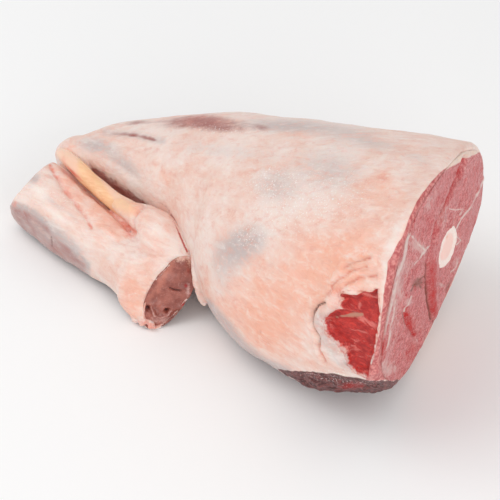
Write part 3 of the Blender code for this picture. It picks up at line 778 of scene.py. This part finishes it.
# Dark along the slit and the seam is painted shade; along the cracks it is their own brown
tint_sides(cut, points, pixels, 1.0, FACE_TINTS, {
    "dark": [bell(slit, 1.1), 0.9 * bell(cracks, 1.3), 0.8 * bell(seam, 1.3)],
    "red": [bell(seam, 2.2), 0.5 * bell(bone_seam, 1.6), 1.2 * swelling * bell(flank, 3.4), 1.3 * bell(crevice, 3.0)],
})
cut.data.materials.append(meat_finish("cut_meat"))
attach(cut, "root")
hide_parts("leg_flesh")


# Shank, hock and heel
# The shin of the leg, folded back beside the thigh, with the heel bone under its skin at the upper
# right. Thin skin and membrane run over all of it without a seam, so the forms are fused and smoothed.
JOINT_CENTRE = np.array([-20.4, -90.5, 25.8])
JOINT_NORMAL = np.array([0.55, -0.75, 0.35])
JOINT_LONG = (0.28, 0.56, 0.78)
JOINT_SHORT = (-0.78, -0.33, 0.52)
JOINT_OVAL = (30.0, 13.0)
JOINT_DEPTH = 8.0
SHANK_END = np.array([-160.5, -40.2, 42.2])
SHANK_END_NORMAL = np.array([-0.84, 0.12, 0.51])
SHANK_GROOVES = [
    [(50, 165), (55, 175), (65, 190), (75, 202), (85, 215), (91, 227)],
    [(60, 164), (68, 174), (80, 184), (88, 192), (98, 200), (110, 211), (121, 221), (133, 233)],
]
SHANK_SHADE = [(5, 202), (17, 204), (27, 207), (35, 211), (43, 218), (52, 226), (60, 235), (75, 250), (88, 264),
               (88, 300), (0, 300)]
HEEL_CREASE = [(146, 203), (137, 211), (132, 220), (133, 233)]
SHANK_BAND = [(50, 165), (65, 190), (78, 207), (95, 226), (118, 243), (134, 236), (122, 222), (108, 210),
              (94, 197), (80, 184), (60, 164)]
SHANK_NICK = [(51, 237), (52, 246)]
SHANK_TINTS = {
    "sinew": [(114, 198, 16, 9, 40, 1.0), (127, 208, 10, 8, 40, 0.7)],
    "blue": [(34, 180, 9, 6, -40, 1.0), (50, 200, 16, 4, 40, 0.7), (72, 216, 12, 3, 40, 0.5),
             (44, 224, 30, 8, 35, 0.9), (66, 244, 24, 8, 35, 0.9), (104, 256, 22, 6, 32, 0.3)],
    "peach": [(134, 208, 11, 11, 0, 1.0), (135, 285, 22, 26, 40, 0.7), (158, 240, 16, 26, 0, 0.5),
              (100, 240, 20, 8, 35, 0.4), (110, 215, 26, 8, 38, 0.5), (135, 310, 18, 14, 20, 0.8)],
    "brown": [(25, 222, 12, 8, 40, 0.5)],
    "pink": [(100, 206, 36, 6, 42, 0.4), (72, 182, 20, 5, 45, 0.5), (128, 232, 14, 6, 45, 0.8),
             (14, 205, 4, 5, 0, 0.9), (140, 255, 5, 10, 0, 0.5), (56, 162, 7, 4, 0, 0.7), (166, 248, 8, 5, 10, 0.4),
             (150, 222, 10, 5, -30, 0.3), (148, 312, 6, 10, 0, 0.5), (128, 292, 8, 8, 0, 0.5),
             (110, 280, 10, 5, 40, 0.3)],
    "white": [(158, 230, 14, 20, 0, 0.9), (40, 192, 22, 6, 40, 0.9), (52, 212, 26, 4, 35, 0.9),
              (88, 236, 24, 6, 32, 0.7), (160, 262, 14, 18, 0, 0.5), (120, 272, 14, 8, 40, 0.4),
              (165, 282, 6, 22, 38, 0.8), (70, 205, 14, 5, 40, 0.4)],
    "red": [(144, 322, 5, 4, 0, 0.9), (150, 305, 2, 8, 20, 0.7), (190, 258, 2, 10, -20, 0.6),
            (134, 252, 3, 3, 0, 0.5)],
    "glint": [(60, 200, 40, 12, 38, 0.5), (130, 290, 20, 20, 0, 0.25)],
}
SHANK_FAR_TINTS = {
    "pink": (0.5, 24.0, 45, 0.2, 0.7),
    "blue": (0.6, 30.0, 46, -0.1, 0.6),
    "brown": (0.6, 28.0, 47, 0.2, 0.7),
}


def pressed(rings, point, normal):
    """Rings with all that lies beyond a plane pressed back onto it."""
    normal = unit(normal)
    beyond = np.maximum((rings - point) @ normal, 0.0)
    return rings - beyond[..., None] * normal


def curve_in_space(keys, points, along):
    """Smooth curve through points in space, one coordinate at a time."""
    points = np.array(points, float)
    return np.stack([curve(keys, points[:, axis], along) for axis in range(3)], axis=-1)


def oval_shares(columns, power):
    """How far each point of a superellipse lies along its two directions: signed cosine and sine."""
    angle = np.linspace(0.0, 2.0 * np.pi, columns, endpoint=False)
    c, s = squircle(angle, power)
    return c * np.sign(np.cos(angle)), s * np.sign(np.sin(angle))


def spanned(centres, *parts):
    """Rings round the centres: for each part, its direction times its radius times its share round the ring."""
    rings = centres[:, None, :]
    for directions, radii, share in parts:
        rings = rings + (radii[:, None] * share[None, :])[..., None] * directions[:, None, :]
    return rings


def loft(centres, longs, shorts, long_radii, short_radii, rows, columns, power, keys):
    """Rings along the centres, each an oval spanned by a long and a short direction."""
    along = np.linspace(0.0, 1.0, rows)
    centres, longs, shorts = (curve_in_space(keys, points, along) for points in (centres, longs, shorts))
    longs = unit(longs)
    shorts = unit(shorts - longs * np.sum(longs * shorts, axis=1, keepdims=True))
    c, s = oval_shares(columns, power)
    long_part = (longs, curve(keys, long_radii, along), s)
    short_part = (shorts, curve(keys, short_radii, along), c)
    return spanned(centres, long_part, short_part)


def tube(path, side_radii, up_radii, rows, columns, power=2.0, round_ends=(0.0, 0.0)):
    """Rings square to a smooth path, with its ends rounded over the lengths in round_ends."""
    keys = np.linspace(0.0, 1.0, len(path))
    along = 0.5 - 0.5 * np.cos(np.linspace(0.0, np.pi, rows))
    centres = curve_in_space(keys, path, along)
    ahead = unit(np.gradient(centres, axis=0))
    side = unit(np.cross(ahead, [0.0, 0.0, 1.0]))
    up = np.cross(side, ahead)
    length = np.sum(np.linalg.norm(np.diff(centres, axis=0), axis=1))
    size = np.ones(rows)
    for end, distance in zip(round_ends, (along * length, (1.0 - along) * length)):
        if end > 0.0:
            inset = np.clip(1.0 - distance / end, 0.0, 0.97)
            size = size * np.sqrt(1.0 - inset**2)
    c, s = oval_shares(columns, power)
    side_part = (side, curve(keys, side_radii, along) * size, c)
    up_part = (up, curve(keys, up_radii, along) * size, s)
    return spanned(centres, side_part, up_part)


def flat_ended(rings, smallest, count):
    """Rings whose open first end is closed by smaller copies of the first ring, from the middle outwards."""
    middle = rings[0].mean(axis=0)
    ends = [middle + (rings[0] - middle) * shrink for shrink in np.linspace(smallest, 0.985, count)]
    return np.concatenate([ends, rings])


def fused(name, parts, voxel, smoothing):
    """One skin over several closed forms: joined, remeshed in small cubes, and smoothed so that creases soften."""
    bpy.ops.object.select_all(action="DESELECT")
    for part in parts:
        part.select_set(True)
    whole = parts[0]
    bpy.context.view_layer.objects.active = whole
    bpy.ops.object.join()
    whole.name = name
    skin = whole.modifiers.new("skin", "REMESH")
    skin.mode = "VOXEL"
    skin.voxel_size = voxel * UNIT
    soften = whole.modifiers.new("soften", "SMOOTH")
    soften.factor = 0.5
    soften.iterations = smoothing
    mesh = bpy.data.meshes.new_from_object(whole.evaluated_get(bpy.context.evaluated_depsgraph_get()))
    whole.modifiers.clear()
    whole.data = mesh
    mesh.name = name
    mesh.polygons.foreach_set("use_smooth", np.ones(len(mesh.polygons), bool))
    return whole


knee_form = ring_piece("knee_form", tube(
    [(-157, -22, 25), (-142, -25, 26), (-114, -36, 25), (-82, -48, 24), (-64, -54, 22)],
    [15, 18, 17, 14, 10], [17, 19, 17, 14, 10], rows=60, columns=60, round_ends=(12.0, 6.0)))
shank_form = ring_piece("shank_form", pressed(tube(
    [(-170, -39, 30), (-150, -45, 28), (-118, -57, 26), (-90, -66, 25), (-58, -77, 25)],
    [22, 25, 24, 23, 20], [25, 28.5, 26.5, 25, 21], rows=90, columns=90, power=2.4, round_ends=(7.0, 0.0)),
    SHANK_END, SHANK_END_NORMAL))
hock_form = ring_piece("hock_form", loft(
    [(-80, -69, 25), (-52, -79, 25.5), (-32, -91, 25), JOINT_CENTRE],
    [(0, 0, 1), (0.1, 0.2, 0.97), (0.25, 0.5, 0.83), JOINT_LONG],
    [(-0.33, -0.93, 0), (-0.4, -0.9, 0.1), (-0.7, -0.6, 0.3), JOINT_SHORT],
    [22, 23.5, 27.5, 32.5], [22, 23, 20, 15.2], rows=60, columns=90, power=2.2, keys=[0, 0.45, 0.85, 1]))
heel_form = ring_piece("heel_form", loft(
    [(-88, -46.5, 52), (-76, -51, 52.3), (-66, -53.5, 53), (-56, -56, 51.5), (-38, -65, 46), (-24, -76, 40.5),
     (-17, -82, 38)],
    [(0.2, 0.2, 1)] * 3 + [(0.2, 0.25, 1), (0.2, 0.3, 0.95), (0.25, 0.5, 0.85), JOINT_LONG],
    [(-0.4, -0.9, 0)] * 3 + [(-0.55, -0.83, 0), (-0.6, -0.75, 0.1), (-0.75, -0.5, 0.3), JOINT_SHORT],
    [5.5, 7.9, 10.2, 14, 18, 17.5, 14.5], [5.5, 7.9, 10.2, 14, 18, 16.5, 12], rows=90, columns=80, power=2.1,
    keys=[0, 0.13, 0.24, 0.37, 0.65, 0.88, 1]))
shank = fused("shank_and_hock", [shank_form, knee_form, hock_form, heel_form], voxel=0.85, smoothing=6)
places, normals, points, pixels = surface(shank)
facing = in_view(normals)
groove = nearest(pixels, SHANK_GROOVES)
crease = path_distance(pixels, HEEL_CREASE)
contact = path_distance(pixels, HEEL_CONTACT)
nick = path_distance(pixels, SHANK_NICK)
recess = inside_distance(pixels, RECESS)
band = inside_distance(pixels, SHANK_BAND)
outward = unit(JOINT_NORMAL)
from_joint = points + ORIGIN - JOINT_CENTRE
long_way = unit(np.array(JOINT_LONG) - outward * (np.array(JOINT_LONG) @ outward))
short_way = np.cross(outward, long_way)
oval = (from_joint @ long_way / JOINT_OVAL[0]) ** 2 + (from_joint @ short_way / JOINT_OVAL[1]) ** 2
broken = 0.6 + 0.7 * grain(points, 7.0, 48)
height = 0.9 * grain(points, 26.0, 41) + 0.5 * grain(points, 11.0, 42) + 0.25 * grain(points, 5.0, 43)
height += 0.1 * grain(points, 2.4, 44)
height += facing * eased(band, -1.0, 4.0) * (1.0 + 0.9 * grain(points, 9.0, 49))
joint_edge = eased(oval, 0.98, 1.02) * (1.0 - eased(oval, 1.3, 1.9)) * eased(from_joint @ outward, -8.0, -2.0)
height += joint_edge * 0.9 * grain(points, 4.0, 50)
height -= facing * (
    1.4 * bell(groove, 2.8)
    + 1.8 * bell(crease, 2.2)
    + 0.8 * bell(nick, 1.4)
)
sunk = (1.0 - eased(oval, 0.82, 0.95)) * eased(from_joint @ outward, -4.0, -2.0)
wall = eased(oval, 0.7, 0.85) * (1.0 - eased(oval, 1.02, 1.14)) * eased(from_joint @ outward, -8.0, -2.0)
raised(shank, height * (1.0 - sunk) - JOINT_DEPTH * sunk)
shade = inside_distance(pixels, SHANK_SHADE)
# Painted shade: every surface that looks down is painted as dark meat, where the shank lies on the table
painted(shank, "raw_in_shade", 9.0 * underneath(normals))
# Painted shade among the tints: blue and brown over the shaded lower left, brown in the recess behind the tendon,
# pink along the heel's crease, and red along the heel's contact with the thigh
tint_sides(shank, points, pixels, facing, SHANK_TINTS, {
    "peach": [0.6 * eased(band, -3.0, 3.0)],
    "pink": [(0.5 + 0.6 * broken) * bell(groove, 2.6), 0.35 * broken * eased(band, -2.0, 3.0),
             (0.3 + 0.3 * broken) * bell(crease, 2.6)],
    "blue": [eased(shade, -6.0, 2.0)],
    "brown": [0.8 * eased(recess, -3.0, 2.0) * (points[:, 2] < 46.0),
              (0.44 + 0.2 * broken) * eased(shade, -3.0, 7.0)],
    "red": [bell(contact, 1.3) * eased(pixels[:, 1], 205.0, 240.0), 0.36 * broken * bell(groove, 1.6)],
}, SHANK_FAR_TINTS, {"pink": 0.9 * wall})
# Painted shade deep in the recess behind the tendon, and the dark of a small nick
painted(shank, "dark", facing * np.maximum.reduce([
    0.6 * bell(nick, 1.4),
    0.5 * eased(recess, 2.0, 7.0) * (points[:, 2] < 44.0),
]))
shank.data.materials.append(skin_finish("membrane_and_skin"))
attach(shank, "root")
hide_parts("leg_flesh")


# Tendon
# The cord of sinew from the back of the thigh to the heel bone, a smooth yellow strap that stands free
# between them and spreads where it grows into the heel.
TENDON_PATH = [
    (-157, -7, 43), (-146, -17, 50), (-128.5, -28, 53.5), (-112.5, -36, 52.5),
    (-96.5, -43, 52), (-80.5, -49, 52), (-66, -54, 52.5), (-55, -57, 51),
]
TENDON_RADIUS = [4.8, 5.7, 6.2, 6.4, 6.6, 7.2, 7.8, 7.0]
TENDON_BLUSH = [(73, 172, 14, 2, 45, 0.9), (100, 200, 14, 2, 42, 0.5), (64, 158, 4, 5, 0, 0.5)]


def sinew_finish(name):
    """Tendon: warm yellow with long pale fibres, going to skin pink at both ends."""
    finish, tree, shader, place = new_finish(name)
    fibre = noise(tree, place, 500.0, 4.0, 0.6, (0.12, 1.0, 1.0), (0.0, 0.1, 0.6))
    middling = noise(tree, place, 120.0, 4.0)
    colour = over(tree, step(tree, fibre, 0.35, 0.68), tone(243, 187, 142), tone(252, 206, 162))
    colour = stained(tree, colour, "end", middling, 0.5, 0.2, 0.9, tone(250, 206, 180))
    colour = stained(tree, colour, "blush", middling, 0.6, 0.3, 1.0, tone(226, 130, 112))
    wet(tree, shader, colour, [(fibre, 0.7)], (middling, 0.34, 0.5), (0.2, 0.2), 0.0004, (0.3, 0.005))
    return finish


tendon = ring_piece("tendon_strap", tube(TENDON_PATH, TENDON_RADIUS, TENDON_RADIUS, rows=160, columns=72))
_, _, points, pixels = surface(tendon)
raised(tendon, 0.35 * grain(points * [0.3, 1.0, 1.0], 5.0, 51) + 0.4 * grain(points, 14.0, 52))
heel_end = eased(pixels[:, 0] - 0.7 * pixels[:, 1], -33.0, -18.0)
knee_end = eased(-pixels[:, 0], -86.0, -72.0)
painted(tendon, "end", np.maximum(heel_end, knee_end))
painted(tendon, "blush", tinted(pixels, TENDON_BLUSH))
tendon.data.materials.append(sinew_finish("yellow_sinew"))
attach(tendon, "root")
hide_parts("tendon")


# Thigh bone
# The round shaft of the thigh bone, sawn off flush with the cut: a ring of dense cream bone round a
# pink core of marrow.
BONE_PATH = [(FACE_X + 0.7, THIGH_BONE_Y, THIGH_BONE_Z), (FACE_X - 40, THIGH_BONE_Y + 4, THIGH_BONE_Z - 4),
             (20, -8, 78), (-70, 8, 54), (-136, 15, 38)]
BONE_SIDE = np.array([1.0, 0.98, 0.8, 0.78, 0.6]) * THIGH_BONE_RADIUS
MARROW_SPOTS = [(446, 236, 2, 4, 0, 0.9), (442, 252, 3, 3, 0, 0.4)]


def bone_finish(name):
    """Sawn bone: a dense cream ring round pink spongy marrow with a few orange and red spots."""
    finish, tree, shader, place = new_finish(name)
    pore = noise(tree, place, 900.0, 4.0, 0.7)
    middling = noise(tree, place, 220.0, 4.0)
    colour = over(tree, step(tree, pore, 0.4, 0.65), tone(250, 226, 217), tone(255, 240, 231))
    colour = stained(tree, colour, "marrow", middling, 1.2, 0.15, 1.0, tone(252, 211, 200))
    colour = stained(tree, colour, "spot", pore, 0.5, 0.3, 0.8, tone(236, 150, 110))
    wet(tree, shader, colour, [(pore, 1.0)], (middling, 0.4, 0.6), (0.15, 0.25), 0.0004, (0.15, 0.003))
    return finish


bone_rings = tube(BONE_PATH, BONE_SIDE, BONE_SIDE * 1.05, rows=90, columns=96)
thigh_bone = ring_piece("thigh_bone_shaft", flat_ended(bone_rings, 0.02, 40))
places, _, points, pixels = surface(thigh_bone)
across = np.linalg.norm(places - placed(bone_rings[0].mean(axis=0)), axis=1) / UNIT / THIGH_BONE_RADIUS
sawn = eased(points[:, 0] + ORIGIN[0], FACE_X - 0.6, FACE_X + 0.2)
raised(thigh_bone, sawn * (0.5 * eased(across, 0.72, 0.9) + 0.3 * grain(points, 2.2, 61)))
painted(thigh_bone, "marrow", sawn * (1.0 - eased(across, 0.6, 0.82)))
painted(thigh_bone, "spot", sawn * tinted(pixels, MARROW_SPOTS))
thigh_bone.data.materials.append(bone_finish("sawn_bone"))
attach(thigh_bone, "root")
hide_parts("thigh_bone")


# Shank bone
# The lower end of the shin bone at the opened hock joint: brown-pink wet gristle over bone, with two
# holes and a split, where the foot was taken off at the joint.
SHANK_BONE_LONG = [31.8, 30.6, 20, 11.5, 10, 7]
SHANK_BONE_SHORT = [14.6, 13.6, 11.8, 11, 10, 7]
JOINT_HOLES = [(149, 310, 3.6), (167, 310, 3.0)]
JOINT_RIDGE = [(152, 308), (155, 315), (161, 317), (168, 315), (171, 311)]
JOINT_SPLIT = [(170, 288), (174, 290), (181, 291)]
JOINT_TINTS = {
    "lip": [(185, 255, 12, 6, -25, 1.0), (190, 262, 3, 8, 0, 0.6)],
    "warm": [(167, 272, 5, 16, 30, 0.9), (157, 288, 5, 10, 35, 0.7), (150, 302, 4, 8, 10, 0.4)],
    "edge": [(188, 290, 2.5, 9, 0, 0.9), (182, 312, 3, 10, 35, 0.6), (166, 320, 9, 4, -10, 0.8),
             (154, 321, 6, 4, 0, 0.7), (160, 315, 7, 4, 0, 0.5)],
    "spot": [(186, 286, 2.5, 2.5, 0, 1.0), (184, 305, 3.5, 2.5, -20, 1.0), (188, 272, 2, 8, 0, 0.6),
             (176, 284, 5, 4, 0, 0.35), (148, 325, 4, 4, 0, 0.7), (152, 302, 3, 3, 0, 0.3)],
    "dark": [(184, 275, 6, 9, 0, 0.3), (180, 300, 6, 10, 20, 0.25)],
}


def gristle_finish(name):
    """Wet joint end: brown-pink gristle, paler at its worn edge, with holes and a split darkened by painted shade,
    and red spots.
    """
    finish, tree, shader, place = new_finish(name)
    middling = noise(tree, place, 160.0, 5.0, 0.6)
    small = noise(tree, place, 800.0, 4.0)
    colour = over(tree, step(tree, middling, 0.35, 0.68), tone(142, 72, 60), tone(177, 104, 89))
    colour = flecked(tree, colour, small, 0.55, 0.7, 0.3, tone(214, 160, 148))
    colour = stained(tree, colour, "warm", middling, 0.8, 0.2, 1.1, tone(206, 128, 108))
    colour = stained(tree, colour, "edge", small, 0.9, 0.25, 1.2, tone(216, 170, 162))
    colour = stained(tree, colour, "spot", small, 0.6, 0.3, 1.0, tone(168, 30, 28))
    colour = stained(tree, colour, "lip", small, 0.8, 0.2, 0.9, tone(234, 188, 168))
    # Dark: painted shade in the holes and the split, and a few dark ovals
    colour = stained(tree, colour, "dark", small, 0.5, 0.3, 1.0, tone(88, 32, 28))
    heights = [(small, 0.6), (middling, 1.2)]
    wet(tree, shader, colour, heights, (small, 0.28, 0.46), (0.4, 0.15), 0.0006, (0.15, 0.003))
    return finish


shank_bone_rings = loft(
    [JOINT_CENTRE + outward * 0.6, JOINT_CENTRE - outward * 3.0, (-30, -87, 25.5),
     (-52, -79, 25.5), (-118, -57, 26), (-146, -46, 27)],
    [JOINT_LONG, JOINT_LONG, JOINT_LONG, (0.1, 0.2, 0.97), (0, 0, 1), (0, 0, 1)],
    [JOINT_SHORT, JOINT_SHORT, JOINT_SHORT, (-0.4, -0.9, 0.1), (-0.33, -0.93, 0), (-0.33, -0.93, 0)],
    SHANK_BONE_LONG, SHANK_BONE_SHORT, rows=90, columns=200, power=2.1, keys=[0, 0.12, 0.3, 0.5, 0.85, 1])
shank_bone = ring_piece("shank_bone_joint", flat_ended(shank_bone_rings, 0.01, 70))
places, _, points, pixels = surface(shank_bone)
front = eased((places - placed(JOINT_CENTRE)) @ outward / UNIT, -0.6, 0.4)
shifted = warped(pixels, points, 1.5, 4.0, 73)
holes = np.minimum.reduce([
    np.linalg.norm((shifted - [x, y]) / [1.0, 0.75], axis=1) / size for x, y, size in JOINT_HOLES])
split = path_distance(pixels, JOINT_SPLIT)
ridge = path_distance(shifted, JOINT_RIDGE)
lower = eased(pixels[:, 1], 296.0, 312.0)
height = 1.2 * grain(points, 11.0, 71) + (0.4 + 0.8 * lower) * grain(points, 4.5, 72) - 0.6
height += 1.4 * bell(ridge, 1.6)
height -= 3.5 * np.exp(-(holes**3)) + 1.2 * bell(split, 1.0)
raised(shank_bone, front * height)
# Dark in the holes and the split is painted shade
tint_sides(shank_bone, points, pixels, front, JOINT_TINTS, {
    "edge": [0.7 * bell(ridge, 1.4)],
    "dark": [1.1 * np.exp(-((holes * 1.3) ** 3)), 0.9 * bell(split, 0.9)],
})
shank_bone.data.materials.append(gristle_finish("joint_gristle"))
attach(shank_bone, "root")
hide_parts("shank_bone")


# Loose ends
# Small ends that hang from the leg: a tongue of skin in the notch between shank and thigh, and shreds of
# membrane round the lower edge of the opened joint.
SHREDS = [
    ([(-50, -94, 15), (-44, -103, 9), (-38, -108, 4.5)], [3.4, 4.4, 2.6]),
    ([(-42, -99, 10), (-35, -106, 6), (-31, -109, 4)], [3.2, 3.4, 1.6]),
    ([(-34, -102, 6), (-28, -107, 4), (-25, -108, 3)], [2.6, 2.6, 1.4]),
    ([(-50, -97, 22), (-47, -103, 18), (-45, -106, 15)], [3.0, 3.0, 1.6]),
]

tongue = ring_piece("notch_tongue", tube(
    [(-12, -64, 64), (-6, -74, 50), (-1, -80.5, 36), (5, -85, 19)],
    [3.0, 4.2, 4.8, 3.6], [3.2, 3.4, 3.6, 3.0], rows=90, columns=48, round_ends=(5.0, 8.0)))
torn = fused("torn_edge", [
    ring_piece(f"shred_{number + 1}", tube(path, radii, radii, rows=40, columns=24, round_ends=(2.0, 2.0)))
    for number, (path, radii) in enumerate(SHREDS)
], voxel=0.45, smoothing=3)
loose_finish = skin_finish("loose_skin")
for piece, rough in ((tongue, 0.5), (torn, 1.4)):
    _, _, points, _ = surface(piece)
    raised(piece, rough * (grain(points, 4.5, 81) + 0.5 * grain(points, 2.0, 82)))
    painted(piece, "pink", 0.35 + 0.3 * (rough - 0.5) + 0.6 * grain(points, 6.0, 83))
    painted(piece, "red", (rough - 0.5) * eased(grain(points, 7.0, 85), -0.2, 0.5))
    painted(piece, "white", 0.6 - 0.4 * rough + 0.5 * grain(points, 9.0, 84))
    piece.data.materials.append(loose_finish)
    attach(piece, "root")
    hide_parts("leg_flesh")


# Stage
# A plain pale floor under soft studio light: a white sky and two large square lamps, one high up on the
# side of the knee, and a lower one on the side of the cut.
HALF_FLOOR = 3.0
LIT_PLACE = (0.0, 0.0, 0.08)

floor_mesh = bpy.data.meshes.new("floor")
corners = [(x * HALF_FLOOR, y * HALF_FLOOR, 0.0) for x, y in ((-1, -1), (1, -1), (1, 1), (-1, 1))]
floor_mesh.from_pydata(corners, [], [(0, 1, 2, 3)])
floor = bpy.data.objects.new("floor", floor_mesh)
bpy.context.scene.collection.objects.link(floor)
floor_finish, _, floor_shader, _ = new_finish("pale_floor")
floor_shader.inputs["Base Color"].default_value = tone(250, 250, 250)
floor_shader.inputs["Roughness"].default_value = 0.9
floor_shader.inputs["Specular IOR Level"].default_value = 0.1
floor_mesh.materials.append(floor_finish)

world = bpy.data.worlds.new("studio")
world.use_nodes = True
sky = world.node_tree.nodes["Background"]
sky.inputs["Color"].default_value = (1.0, 1.0, 1.0, 1.0)
sky.inputs["Strength"].default_value = 0.7
bpy.context.scene.world = world


def soft_light(name, place, size, watts):
    """Square area lamp at a place in metres, facing the middle of the leg."""
    data = bpy.data.lights.new(name, "AREA")
    data.size = size
    data.energy = watts
    lamp = bpy.data.objects.new(name, data)
    away = unit(np.array(place) - np.array(LIT_PLACE))
    side = unit(np.cross([0.0, 0.0, 1.0], away))
    lamp.matrix_world = standing(side, np.cross(away, side), away, place)
    bpy.context.scene.collection.objects.link(lamp)


soft_light("key", (-0.9, -0.5, 1.5), size=1.2, watts=9.0)
soft_light("fill", (1.4, -1.1, 0.8), size=1.2, watts=9.0)
bpy.context.scene.view_settings.view_transform = "Standard"
